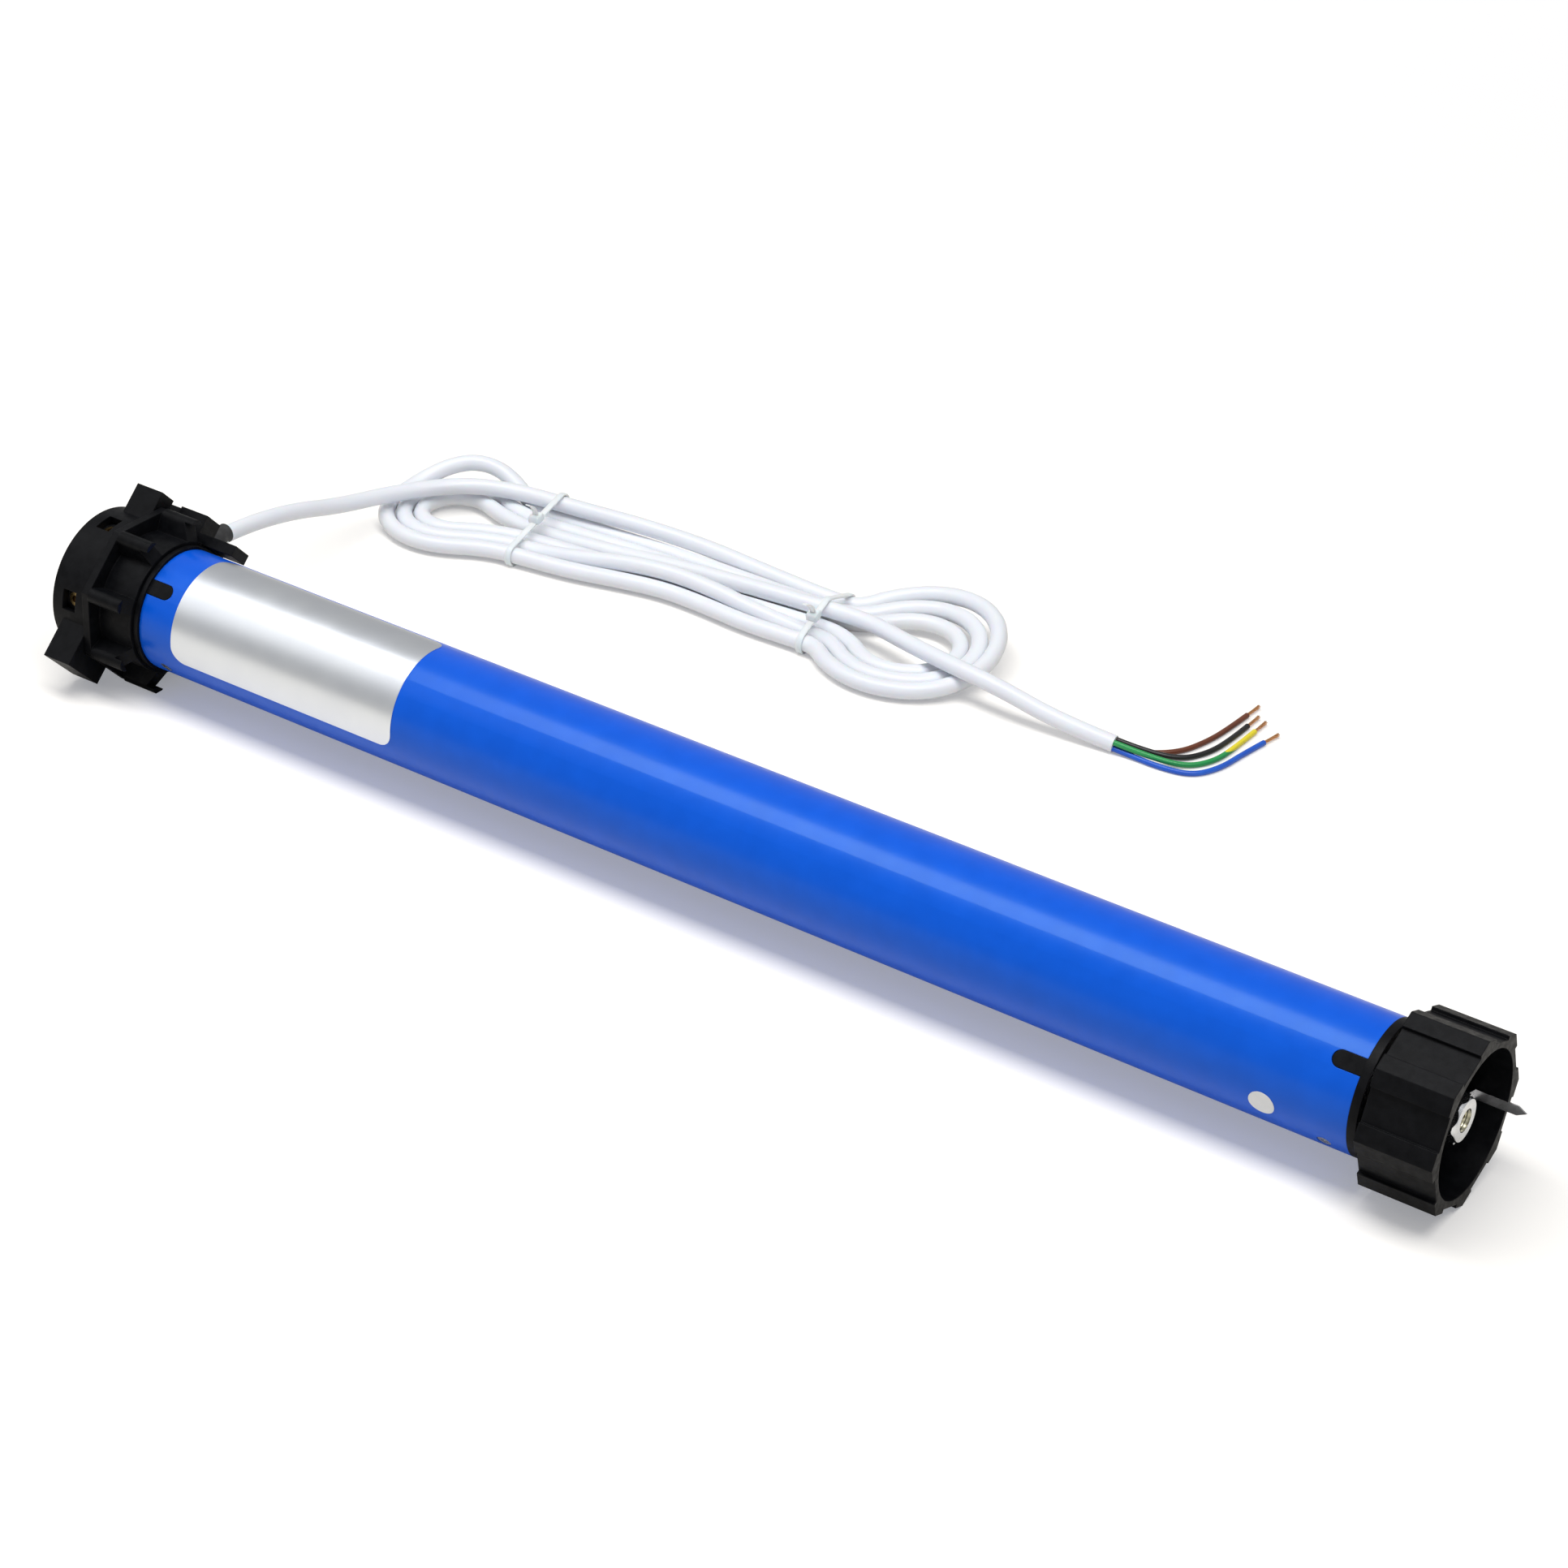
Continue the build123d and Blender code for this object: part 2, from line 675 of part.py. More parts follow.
# Cam wheels: 36 teeth and a lobed disc each
for name, place, phase in zip(("cam_wheel_up", "cam_wheel_down"), cam_places, cam_phases):
    with BuildPart() as cam_wheel:
        with BuildSketch(across(cam_station)):
            Polygon(*shifted(gear_points(cam_teeth, limit_module, phase), place))
        extrude(amount=limit_face - overrun)
        with BuildSketch(at_spot(across(cam_station + limit_face - overrun), place)):
            Circle(cam_disc_r - cam_lobe)
            with Locations((0, cam_disc_r / 2)):
                Rectangle(cam_disc_r / 2, cam_disc_r)
            Circle(cam_disc_r, mode=Mode.INTERSECT)
        extrude(amount=cam_thickness)
        with BuildSketch(at_spot(across(cam_station), place)):
            Circle(spindle_r + running_gap)
        extrude(amount=limit_face + cam_thickness, mode=Mode.SUBTRACT)
    finish(cam_wheel, name)

# Two microswitches on the frame, each with a sprung plunger just clear of its cam
limit_inner = limit_end - limit_disc
switch_left = limit_inner - switch_length
plunger_station = switch_left + switch_inset
cam_top = cam_places[0][1] + cam_disc_r
switch_bottom = cam_top + plunger_tip_gap + 2 * plunger_length / 3
with BuildPart() as limit_switches:
    for place in cam_places:
        with BuildSketch(at_spot(across(switch_left), (place[0], switch_bottom + switch_height / 2))):
            Rectangle(switch_width, switch_height)
        extrude(amount=switch_length)
        with BuildSketch(outward(plunger_station, 90, switch_bottom)):
            with Locations((0, place[0])):
                Circle(plunger_r + running_gap)
        extrude(amount=plunger_length / 3 + 2 * plunger_stroke, mode=Mode.SUBTRACT)
finish(limit_switches, "limit_switches")
for name, place in zip(("switch_plunger_up", "switch_plunger_down"), cam_places):
    with BuildPart() as switch_plunger:
        with BuildSketch(outward(plunger_station, 90, cam_top + plunger_tip_gap)):
            with Locations((0, place[0])):
                Circle(plunger_r)
        extrude(amount=plunger_length)
    finish(switch_plunger, name)

# Terminal block against the frame's right disc, with its screws
terminal_step = terminal_width / terminal_count
terminal_rows = [(i - (terminal_count - 1) / 2) * terminal_step for i in range(terminal_count)]
with BuildPart() as terminal_block:
    with BuildSketch(across(limit_end)):
        Rectangle(terminal_width, terminal_height)
    extrude(amount=terminal_length)
    with BuildSketch(across(limit_end + 2 * overrun)):
        with Locations(*[(y, -terminal_height / 4) for y in terminal_rows]):
            Circle(terminal_hole_r)
    extrude(amount=terminal_length, mode=Mode.SUBTRACT)
    with BuildSketch(outward(limit_end + terminal_length / 2, 90, terminal_height / 2)):
        with Locations(*[(0, y) for y in terminal_rows]):
            Circle(terminal_hole_r + running_gap)
    extrude(amount=-terminal_height / 2, mode=Mode.SUBTRACT)
finish(terminal_block, "terminal_block")
with BuildPart() as terminal_screws:
    for y in terminal_rows:
        with BuildSketch(outward(limit_end + terminal_length / 2, 90, overrun)):
            with Locations((0, y)):
                Circle(terminal_hole_r)
        extrude(amount=terminal_height / 2 - 2 * overrun)
        with BuildSketch(outward(limit_end + terminal_length / 2, 90, terminal_height / 2 - overrun)):
            with Locations((0, y)):
                Rectangle(2 * terminal_hole_r, terminal_hole_r / 4)
        extrude(amount=-screw_head_height / 2, mode=Mode.SUBTRACT)
finish(terminal_screws, "terminal_screws")

# Run capacitor in an insulating sleeve
inner_r = tube_bore_r - seat_gap
capacitor_r = inner_r - capacitor_rim * 2
with BuildPart() as capacitor_sleeve:
    with BuildSketch(across(capacitor_start)):
        tube_sketch(inner_r, capacitor_r + seat_gap)
    extrude(amount=capacitor_length)
finish(capacitor_sleeve, "capacitor_sleeve")
with BuildPart() as capacitor:
    with BuildSketch(across(capacitor_start)):
        Circle(capacitor_r)
    extrude(amount=capacitor_length)
    with BuildSketch(across(capacitor_start + capacitor_rim)):
        tube_sketch(capacitor_r, capacitor_r - capacitor_neck)
    extrude(amount=capacitor_rim, mode=Mode.SUBTRACT)
    with BuildSketch(across(capacitor_start)):
        with Locations((capacitor_r / 3, 0), (-capacitor_r / 3, 0)):
            Rectangle(overrun, 3 * overrun)
    extrude(amount=-2 * capacitor_rim)
finish(capacitor, "capacitor")

# Motor shields with their bearing seats, and the two bearings
gearbox_start = tube_length - gearbox_length
rear_shield_start = gearbox_start - gearbox_gap - brake_length - shield_thickness
stator_length = rear_shield_start - rear_shield_gap - winding_overhang - stator_start
front_bearing_start = front_shield_start + shield_thickness - bearing_width
bearing_starts = (front_bearing_start, rear_shield_start)
shield_starts = (front_shield_start, rear_shield_start)
names = ("front_shield", "rear_shield")
for name, shield_start, bearing_start in zip(names, shield_starts, bearing_starts):
    with BuildPart() as shield:
        with BuildSketch(across(shield_start)):
            tube_sketch(inner_r, rotor_shaft_r + overrun)
        extrude(amount=shield_thickness)
        with BuildSketch(across(bearing_start)):
            Circle(bearing_r)
        extrude(amount=bearing_width, mode=Mode.SUBTRACT)
    finish(shield, name)
with BuildPart() as motor_bearings:
    for bearing_start in bearing_starts:
        with BuildSketch(across(bearing_start)):
            tube_sketch(bearing_r, rotor_shaft_r + running_gap / 5)
        extrude(amount=bearing_width)
        for face in (bearing_start, bearing_start + bearing_width - bearing_groove):
            with BuildSketch(across(face)):
                tube_sketch(bearing_r - bearing_race, rotor_shaft_r + bearing_race)
            extrude(amount=bearing_groove, mode=Mode.SUBTRACT)
finish(motor_bearings, "motor_bearings")

# Stator core with open slots, and the winding laid in them
slot_middle = (stator_bore_r + stator_slot_r) / 2
with BuildPart() as stator_core:
    with BuildSketch(across(stator_start)):
        tube_sketch(inner_r, stator_bore_r)
        with PolarLocations(stator_bore_r, stator_slots):
            Rectangle(2 * slot_mouth, slot_mouth, mode=Mode.SUBTRACT)
        with PolarLocations(slot_middle + overrun, stator_slots):
            Rectangle(stator_slot_r - stator_bore_r - 2 * overrun, stator_slot_width, mode=Mode.SUBTRACT)
    extrude(amount=stator_length)
finish(stator_core, "stator_core")
with BuildPart() as stator_winding:
    with BuildSketch(across(stator_start - winding_overhang)):
        with PolarLocations(slot_middle + overrun, stator_slots):
            Rectangle(
                stator_slot_r - stator_bore_r - 2 * overrun - 2 * winding_gap,
                stator_slot_width - 2 * winding_gap,
            )
    extrude(amount=stator_length + 2 * winding_overhang)
    for end in (stator_start - winding_overhang, stator_start + stator_length + winding_gap):
        with BuildSketch(across(end)):
            tube_sketch(stator_slot_r + overrun, stator_bore_r + overrun)
        extrude(amount=winding_overhang - winding_gap)
finish(stator_winding, "stator_winding")

# Stations of the two gear stages, from the rotor's sun to the output shaft
stage_gears = []
stage_carriers = []
station = gearbox_start + gearbox_wall + 2 * stage_gap - overrun
for face, carrier in zip(stage_faces, carrier_thicknesses):
    stage_gears.append(station)
    stage_carriers.append(station + face + stage_gap)
    station = stage_carriers[-1] + carrier + stage_gap
orbit_r = gear_module * (sun_teeth + planet_teeth) / 2
planet_angles = [90 + i * 360 / planet_count for i in range(planet_count)]
sun_phase = 90
planet_phases = [mesh_phase(sun_phase, sun_teeth, planet_teeth, a) for a in planet_angles]
gear_ring_phase = ring_phase(planet_phases[0], planet_teeth, ring_teeth, planet_angles[0])
ring_root_r = gear_module * (ring_teeth / 2 + dedendum_share)

# Rotor and its shaft, which ends in the first sun gear
shaft_left = front_shield_start - 2 * overrun
with BuildPart() as rotor:
    with BuildSketch(across(stator_start - rotor_end_length)):
        tube_sketch(rotor_end_r, rotor_shaft_r)
    extrude(amount=stator_length + 2 * rotor_end_length)
    with BuildSketch(across(stator_start)):
        tube_sketch(rotor_r, rotor_shaft_r)
    extrude(amount=stator_length)
finish(rotor, "rotor")
with BuildPart() as rotor_shaft:
    with BuildSketch(across(shaft_left)):
        Circle(rotor_shaft_r)
    extrude(amount=stage_gears[0] - shaft_left)
    with BuildSketch(across(stage_gears[0])):
        Polygon(*gear_points(sun_teeth, gear_module, sun_phase))
    extrude(amount=stage_faces[0])
finish(rotor_shaft, "rotor_shaft")

# Brake: magnet cup, coil, sprung armature plate, disc on the rotor shaft and end plate
brake_start = rear_shield_start + shield_thickness
cup_r = inner_r - brake_wall
magnet_face = brake_start + brake_core_length
armature_start = magnet_face + brake_stroke + running_gap
brake_disc_start = armature_start + brake_plate + running_gap
brake_end_start = brake_disc_start + brake_disc_thickness + running_gap
with BuildPart() as brake_housing:
    with BuildSketch(across(brake_start)):
        tube_sketch(inner_r, cup_r)
    extrude(amount=brake_length)
    with BuildSketch(across(brake_start)):
        tube_sketch(cup_r + brake_wall / 2, rotor_shaft_r + overrun)
    extrude(amount=gearbox_wall)
    with BuildSketch(across(brake_start)):
        tube_sketch(brake_core_r, rotor_shaft_r + overrun)
    extrude(amount=brake_core_length)
finish(brake_housing, "brake_housing")
with BuildPart() as brake_coil:
    with BuildSketch(across(brake_start + gearbox_wall)):
        tube_sketch(cup_r - seat_gap, brake_core_r + seat_gap)
    extrude(amount=brake_core_length - gearbox_wall - overrun)
finish(brake_coil, "brake_coil")
with BuildPart() as brake_armature:
    with BuildSketch(across(armature_start)):
        tube_sketch(cup_r - 2 * running_gap, rotor_shaft_r + overrun)
    extrude(amount=brake_plate)
finish(brake_armature, "brake_armature")
with BuildPart() as brake_disc:
    with BuildSketch(across(brake_disc_start)):
        tube_sketch(brake_disc_r, rotor_shaft_r)
    extrude(amount=brake_disc_thickness)
finish(brake_disc, "brake_disc")
with BuildPart() as brake_end_plate:
    with BuildSketch(across(brake_end_start)):
        tube_sketch(cup_r, rotor_shaft_r + overrun)
    extrude(amount=brake_plate)
finish(brake_end_plate, "brake_end_plate")

# Gearbox housing: internal ring gear in one length for both stages
cap_left = tube_length - cap_spigot
gears_right = stage_carriers[-1] - stage_gap / 2
with BuildPart() as gearbox_housing:
    with BuildSketch(across(gearbox_start)):
        tube_sketch(inner_r, rotor_shaft_r + 2 * overrun)
    extrude(amount=gearbox_wall)
    with BuildSketch(across(gearbox_start + gearbox_wall)):
        Circle(inner_r)
        Polygon(
            *gear_points(ring_teeth, gear_module, gear_ring_phase, inner=True),
            mode=Mode.SUBTRACT,
        )
    extrude(amount=gears_right - gearbox_start - gearbox_wall)
    with BuildSketch(across(gears_right)):
        tube_sketch(inner_r, ring_root_r)
    extrude(amount=cap_left - gears_right)
finish(gearbox_housing, "gearbox_housing")

# Planet gears, one node per gear
planet_spots = [spoke(orbit_r, a) for a in planet_angles]
for stage, (start, face) in enumerate(zip(stage_gears, stage_faces)):
    for number, (spot, phase) in enumerate(zip(planet_spots, planet_phases)):
        with BuildPart() as planet:
            with BuildSketch(across(start)):
                Polygon(*shifted(gear_points(planet_teeth, gear_module, phase), spot))
                with Locations(spot):
                    Circle(planet_pin_r + running_gap, mode=Mode.SUBTRACT)
            extrude(amount=face)
        finish(planet, f"planet_{stage + 1}_{number + 1}")

# Carrier of the first stage: disc, three pins and the sun gear of the second stage
with BuildPart() as planet_carrier:
    with BuildSketch(across(stage_carriers[0])):
        Circle(carrier_r)
    extrude(amount=carrier_thicknesses[0])
    with BuildSketch(across(stage_gears[0])):
        with Locations(*planet_spots):
            Circle(planet_pin_r)
    extrude(amount=stage_faces[0] + stage_gap)
    with BuildSketch(across(stage_carriers[0] + carrier_thicknesses[0])):
        Polygon(*gear_points(sun_teeth, gear_module, sun_phase))
    extrude(amount=stage_gap + stage_faces[1])
finish(planet_carrier, "planet_carrier")

# Output shaft: last carrier, round shaft, hexagon end with a recessed screw seat
shaft_right = tube_length + cap_flange + shaft_reach
hex_left = wheel_left + overrun
clip_station = wheel_left + wheel_web + wheel_hub_length
screw_seat = 3 * overrun
with BuildPart() as output_shaft:
    with BuildSketch(across(stage_carriers[1])):
        Circle(carrier_r)
    extrude(amount=carrier_thicknesses[1])
    with BuildSketch(across(stage_gears[1])):
        with Locations(*planet_spots):
            Circle(planet_pin_r)
    extrude(amount=stage_faces[1] + stage_gap)
    with BuildSketch(across(stage_carriers[1] + carrier_thicknesses[1])):
        Circle(output_shaft_r)
    extrude(amount=hex_left - stage_carriers[1] - carrier_thicknesses[1])
    with BuildSketch(across(hex_left)):
        RegularPolygon(shaft_hex / 2, 6, major_radius=False)
    extrude(amount=shaft_right - hex_left)
    with BuildSketch(across(shaft_right - hex_chamfer)):
        Rectangle(4 * shaft_hex, 4 * shaft_hex)
        Circle(shaft_hex / 2 + hex_chamfer / 2, mode=Mode.SUBTRACT)
    extrude(amount=2 * hex_chamfer, taper=-30, mode=Mode.SUBTRACT)
    with BuildSketch(across(clip_station)):
        Circle(shaft_hex)
        Circle(output_shaft_r - clip_groove, mode=Mode.SUBTRACT)
    extrude(amount=clip_thickness + running_gap, mode=Mode.SUBTRACT)
    with BuildSketch(across(shaft_right - screw_seat)):
        Circle(pan_head_r - overrun / 2)
    extrude(amount=screw_seat, mode=Mode.SUBTRACT)
    with BuildSketch(across(shaft_right - screw_seat - shaft_screw_length)):
        Circle(shaft_screw_r)
    extrude(amount=shaft_screw_length, mode=Mode.SUBTRACT)
finish(output_shaft, "output_shaft")
with BuildPart() as shaft_screw:
    with BuildSketch(across(shaft_right - screw_seat - shaft_screw_length)):
        Circle(shaft_screw_r)
    extrude(amount=shaft_screw_length)
    with BuildSketch(across(shaft_right - screw_seat)):
        Circle(pan_head_r - overrun)
    extrude(amount=pan_head_height)
    with BuildSketch(across(shaft_right - screw_seat + pan_head_height)):
        Rectangle(cross_length, cross_width)
        Rectangle(cross_width, cross_length)
    extrude(amount=-cross_depth, mode=Mode.SUBTRACT)
finish(shaft_screw, "shaft_screw")

# Gearbox end cap: spigot in the tube, key in the right slot, flange and bearing seat
output_bearing_r = inner_r - gearbox_wall - 2 * overrun
with BuildPart() as gearbox_end_cap:
    with BuildSketch(across(cap_left)):
        Circle(tube_bore_r - running_gap)
    extrude(amount=cap_spigot)
    with BuildSketch(across(tube_length)):
        Circle(tube_r)
    extrude(amount=cap_flange)
    with BuildSketch(outward(tube_length, slot_angle, tube_bore_r - tube_wall)):
        with Locations((-key_length / 2 + slot_width / 4, 0)):
            Rectangle(key_length - slot_width / 2, slot_width - 2 * running_gap)
        with Locations((-key_length + slot_width / 2, 0)):
            Circle(slot_width / 2 - running_gap)
    extrude(amount=2 * tube_wall - running_gap)
    with BuildSketch(across(cap_left)):
        Circle(output_shaft_r + overrun / 2)
    extrude(amount=cap_spigot + cap_flange, mode=Mode.SUBTRACT)
    with BuildSketch(across(cap_left)):
        Circle(output_bearing_r)
    extrude(amount=bearing_width + 2 * overrun, mode=Mode.SUBTRACT)
    for angle in (tube_screw_angle, tube_screw_angle - 180):
        with BuildSketch(outward(tube_length - tube_screw_inset, angle, tube_r - tube_screw_length)):
            Circle(tube_screw_r)
        extrude(amount=tube_screw_length, mode=Mode.SUBTRACT)
finish(gearbox_end_cap, "gearbox_end_cap")
with BuildPart() as output_bearing:
    with BuildSketch(across(cap_left)):
        tube_sketch(output_bearing_r, output_shaft_r + running_gap / 5)
    extrude(amount=bearing_width + 2 * overrun)
    with BuildSketch(across(cap_left)):
        tube_sketch(output_bearing_r - bearing_race, output_shaft_r + bearing_race)
    extrude(amount=bearing_groove, mode=Mode.SUBTRACT)
finish(output_bearing, "output_bearing")

# Drive wheel: octagon with a shallow recess in each flat, web, hub and open cup
with BuildPart() as drive_wheel:
    with BuildSketch(across(wheel_left)):
        RegularPolygon(wheel_corner_r, crown_rib_count)
        with PolarLocations(wheel_corner_r, crown_rib_count, start_angle=rib_headings[0]):
            Rectangle(
                2 * (wheel_corner_r - wheel_recess_flat),
                wheel_recess_width,
                mode=Mode.SUBTRACT,
            )
    extrude(amount=wheel_length)
    with BuildSketch(across(wheel_left + wheel_web)):
        tube_sketch(wheel_mouth_r, wheel_hub_r)
    extrude(amount=wheel_length, mode=Mode.SUBTRACT)
    with BuildSketch(across(wheel_left + wheel_web + wheel_hub_length)):
        Circle(wheel_hub_r + overrun)
    extrude(amount=wheel_length, mode=Mode.SUBTRACT)
    with BuildSketch(across(wheel_left)):
        RegularPolygon(shaft_hex / 2 + hub_fit, 6, major_radius=False)
    extrude(amount=wheel_length, mode=Mode.SUBTRACT)
finish(drive_wheel, "drive_wheel")

# Spring clip: fork in the shaft's groove, arm to the cup's wall and tongue out past the rim
clip_heading = -15
tongue_r = wheel_mouth_r - clip_thickness - running_gap
with BuildPart() as spring_clip:
    with BuildSketch(across(clip_station)):
        Circle(clip_fork_r)
        with Locations(Rotation(0, 0, clip_heading)):
            with Locations((tongue_r / 2 + clip_thickness / 2, 0)):
                Rectangle(tongue_r + clip_thickness, clip_width)
        with Locations(Rotation(0, 0, clip_heading + 180)):
            with Locations((clip_fork_r / 2, 0)):
                Rectangle(clip_fork_r, 2 * (output_shaft_r - clip_groove), mode=Mode.SUBTRACT)
        Circle(output_shaft_r - clip_groove, mode=Mode.SUBTRACT)
    extrude(amount=clip_thickness)
    with BuildSketch(outward(clip_station, clip_heading, tongue_r)):
        with BuildLine():
            Polyline(
                (0, -clip_width / 2),
                (clip_tip - clip_station - clip_width, -clip_width / 2),
                (clip_tip - clip_station, 0),
                (clip_tip - clip_station - clip_width, clip_width / 2),
                (0, clip_width / 2),
                close=True,
            )
        make_face()
    extrude(amount=clip_thickness)
finish(spring_clip, "spring_clip")

# Tube with a keyed slot at each end and four screw holes
tube_screw_places = [
    (station, angle)
    for station in (tube_screw_inset, tube_length - tube_screw_inset)
    for angle in (tube_screw_angle, tube_screw_angle - 180)
]
with BuildPart() as motor_tube:
    with BuildSketch(across(0)):
        tube_sketch(tube_r, tube_bore_r)
    extrude(amount=tube_length)
    for end, sign in ((0, 1), (tube_length, -1)):
        with BuildSketch(outward(end, slot_angle, tube_bore_r - tube_wall)):
            with Locations((sign * (slot_depth - slot_width / 2) / 2, 0)):
                Rectangle(slot_depth - slot_width / 2, slot_width)
            with Locations((sign * (slot_depth - slot_width / 2), 0)):
                Circle(slot_width / 2)
        extrude(amount=3 * tube_wall, mode=Mode.SUBTRACT)
    for station, angle in tube_screw_places:
        with BuildSketch(outward(station, angle, tube_bore_r - tube_wall)):
            Circle(tube_screw_head_r + running_gap)
        extrude(amount=3 * tube_wall, mode=Mode.SUBTRACT)
finish(motor_tube, "motor_tube")
with BuildPart() as tube_screws:
    for station, angle in tube_screw_places:
        with BuildSketch(outward(station, angle, tube_r - tube_screw_length)):
            Circle(tube_screw_r)
        extrude(amount=tube_screw_length - tube_wall)
        with BuildSketch(outward(station, angle, tube_bore_r - running_gap)):
            Circle(tube_screw_head_r)
        extrude(amount=tube_wall - running_gap)
        with BuildSketch(outward(station, angle, tube_r - 2 * running_gap)):
            Rectangle(tube_screw_head_r, tube_screw_head_r / 4)
            Rectangle(tube_screw_head_r / 4, tube_screw_head_r)
        extrude(amount=-tube_wall / 2, mode=Mode.SUBTRACT)
finish(tube_screws, "tube_screws")

# Bare foil label wrapped over the tube, and a small round sticker near its right end
label_middle = (label_low_angle + label_high_angle) / 2
with BuildPart() as label:
    with BuildSketch(across(label_inset)):
        tube_sketch(tube_r + label_thickness, tube_r + label_thickness / 5)
        Polygon((0, 0), spoke(4 * tube_r, label_high_angle), spoke(4 * tube_r, label_middle),
                spoke(4 * tube_r, label_low_angle), mode=Mode.INTERSECT)
    extrude(amount=label_length)
    corner_turn = degrees(label_corner / tube_r)
    corner_cut = label_corner + overrun
    corner_stations = (label_inset + label_corner, label_inset + label_length - label_corner)
    corner_angles = (label_high_angle + corner_turn, label_low_angle - corner_turn)
    for station, end in zip(corner_stations, (-1, 1)):
        for angle, side in zip(corner_angles, (1, -1)):
            with BuildSketch(outward(station, angle, tube_bore_r - tube_wall)):
                with Locations((end * corner_cut / 2, side * corner_cut / 2)):
                    Rectangle(corner_cut, corner_cut)
                Circle(label_corner, mode=Mode.SUBTRACT)
            extrude(amount=4 * tube_wall, mode=Mode.SUBTRACT)
finish(label, "label")
with BuildPart() as sticker:
    with BuildSketch(across(tube_length - sticker_inset - sticker_r)):
        tube_sketch(tube_r + label_thickness, tube_r + label_thickness / 5)
    extrude(amount=2 * sticker_r)
    with BuildSketch(outward(tube_length - sticker_inset, sticker_angle, tube_bore_r)):
        Circle(sticker_r)
    extrude(amount=3 * tube_wall, mode=Mode.INTERSECT)
finish(sticker, "sticker")

# Mains lead: stations of the hank in its own frame, u along the run, w toward the far side
strand_z = cord_r + tie_gap + tie_thickness
hank_way = Vector(cos(radians(hank_turn)), sin(radians(hank_turn)), 0)
hank_side = Vector(-sin(radians(hank_turn)), cos(radians(hank_turn)), 0)
half_width = strand_pitch * (2 * loop_count - 1) / 2


def hank_point(u, w, z):
    """Point of the hank's own frame, z above the floor."""
    return Vector(hank_x, hank_y, z) + hank_way * u + hank_side * w


def curve_through(knots):
    """Smooth wire of arcs through knots, each a point and the direction there.

    Two arcs join each pair of knots; they meet where both have the same tangent length."""
    edges = []
    for (start, start_way), (end, end_way) in zip(knots, knots[1:]):
        start_way = start_way.normalized()
        end_way = end_way.normalized()
        reach = end - start
        both = start_way + end_way
        bend = 2 * (1 - start_way.dot(end_way))
        if reach.cross(start_way).length < reach.length / 10 ** 6 and bend < 1 / 10 ** 9:
            edges.append(Line(start, end, mode=Mode.PRIVATE))
            continue
        along = reach.dot(both)
        if bend < 1 / 10 ** 9:
            tangent_length = reach.dot(reach) / (4 * reach.dot(start_way))
        else:
            tangent_length = (sqrt(along ** 2 + bend * reach.dot(reach)) - along) / bend
        first = start + start_way * tangent_length
        last = end - end_way * tangent_length
        middle = (first + last) / 2
        middle_way = last - first
        edges.append(TangentArc(start, middle, tangent=start_way, mode=Mode.PRIVATE))
        edges.append(TangentArc(middle, end, tangent=middle_way, mode=Mode.PRIVATE))
    return edges


def span_knots(place, steps, forward):
    """Knots of a strand between the ties, from its place as a function of the run share."""
    knots = []
    for step in range(steps + 1):
        share = step / steps if forward else 1 - step / steps
        nudge = 1 / 1000
        here = place(share)
        way = place(share + nudge) - place(share - nudge)
        knots.append((here, way if forward else way * -1))
    return knots


def roll(share):
    """Turn in degrees of the strands about each other at a share of the run."""
    eased = share * share * (3 - 2 * share)
    return 60 * eased


def strand_place(number):
    """Place of a strand between the ties, as a function of the run share."""

    def place(share):
        share = min(max(share, 0), 1) if number % 2 else share
        turn = radians(roll(share))
        inner = -strand_pitch / 2 + strand_pitch * 2 * cos(turn)
        outer = strand_pitch / 2 + strand_pitch * 2 * cos(turn)
        tops = {
            1: (outer + strand_pitch * sin(1.5 * turn), strand_pitch * cos(1.5 * turn)),
            3: (outer, 0),
            5: (inner, 0),
            7: (-strand_pitch / 2 + strand_pitch * cos(turn), strand_pitch * sin(turn)),
        }
        w, lift = tops.get(number, (-half_width + (number / 2 - 1) * strand_pitch, 0))
        return hank_point((2 * share - 1) * hank_half, w, strand_z + lift)

    return place


def loop_knots(end, loop_r, flare_r, number):
    """Knots of one end loop: flare out, the main turn, and back in on the other side."""
    sign = 1 if end > 0 else -1
    flare_angle = acos((half_width + flare_r) / (flare_r + loop_r))
    inset = number * strand_pitch
    outward_r = flare_r + inset
    main_r = loop_r - inset
    middle_u = sign * (hank_half + (flare_r + loop_r) * sin(flare_angle))
    knots = []
    steps = 6
    for step in range(steps + 1):
        swing = flare_angle + pi / 2 - (2 * flare_angle + pi) * step / steps
        u = middle_u + sign * main_r * cos(swing)
        w = sign * main_r * sin(swing)
        way = hank_way * (sign * sin(swing)) - hank_side * (sign * cos(swing))
        knots.append((hank_point(u, w, strand_z), way))
    return knots


right_loops = [loop_knots(1, right_loop_r, right_flare_r, i) for i in range(loop_count)]
left_loops = [loop_knots(-1, left_loop_r, left_flare_r, i) for i in range(loop_count)]
strand_steps = 8
hank_knots = []
for loop in range(loop_count):
    hank_knots += span_knots(strand_place(2 * loop + 1), strand_steps, True)
    hank_knots += right_loops[loop]
    hank_knots += span_knots(strand_place(2 * loop + 2), 1, False)
    hank_knots += left_loops[loop]
hank_knots += span_knots(strand_place(2 * loop_count + 1), strand_steps, True)
hank_edges = curve_through(hank_knots)
hank_wire = Wire(hank_edges)
print("hank length", round(hank_wire.length, 1))

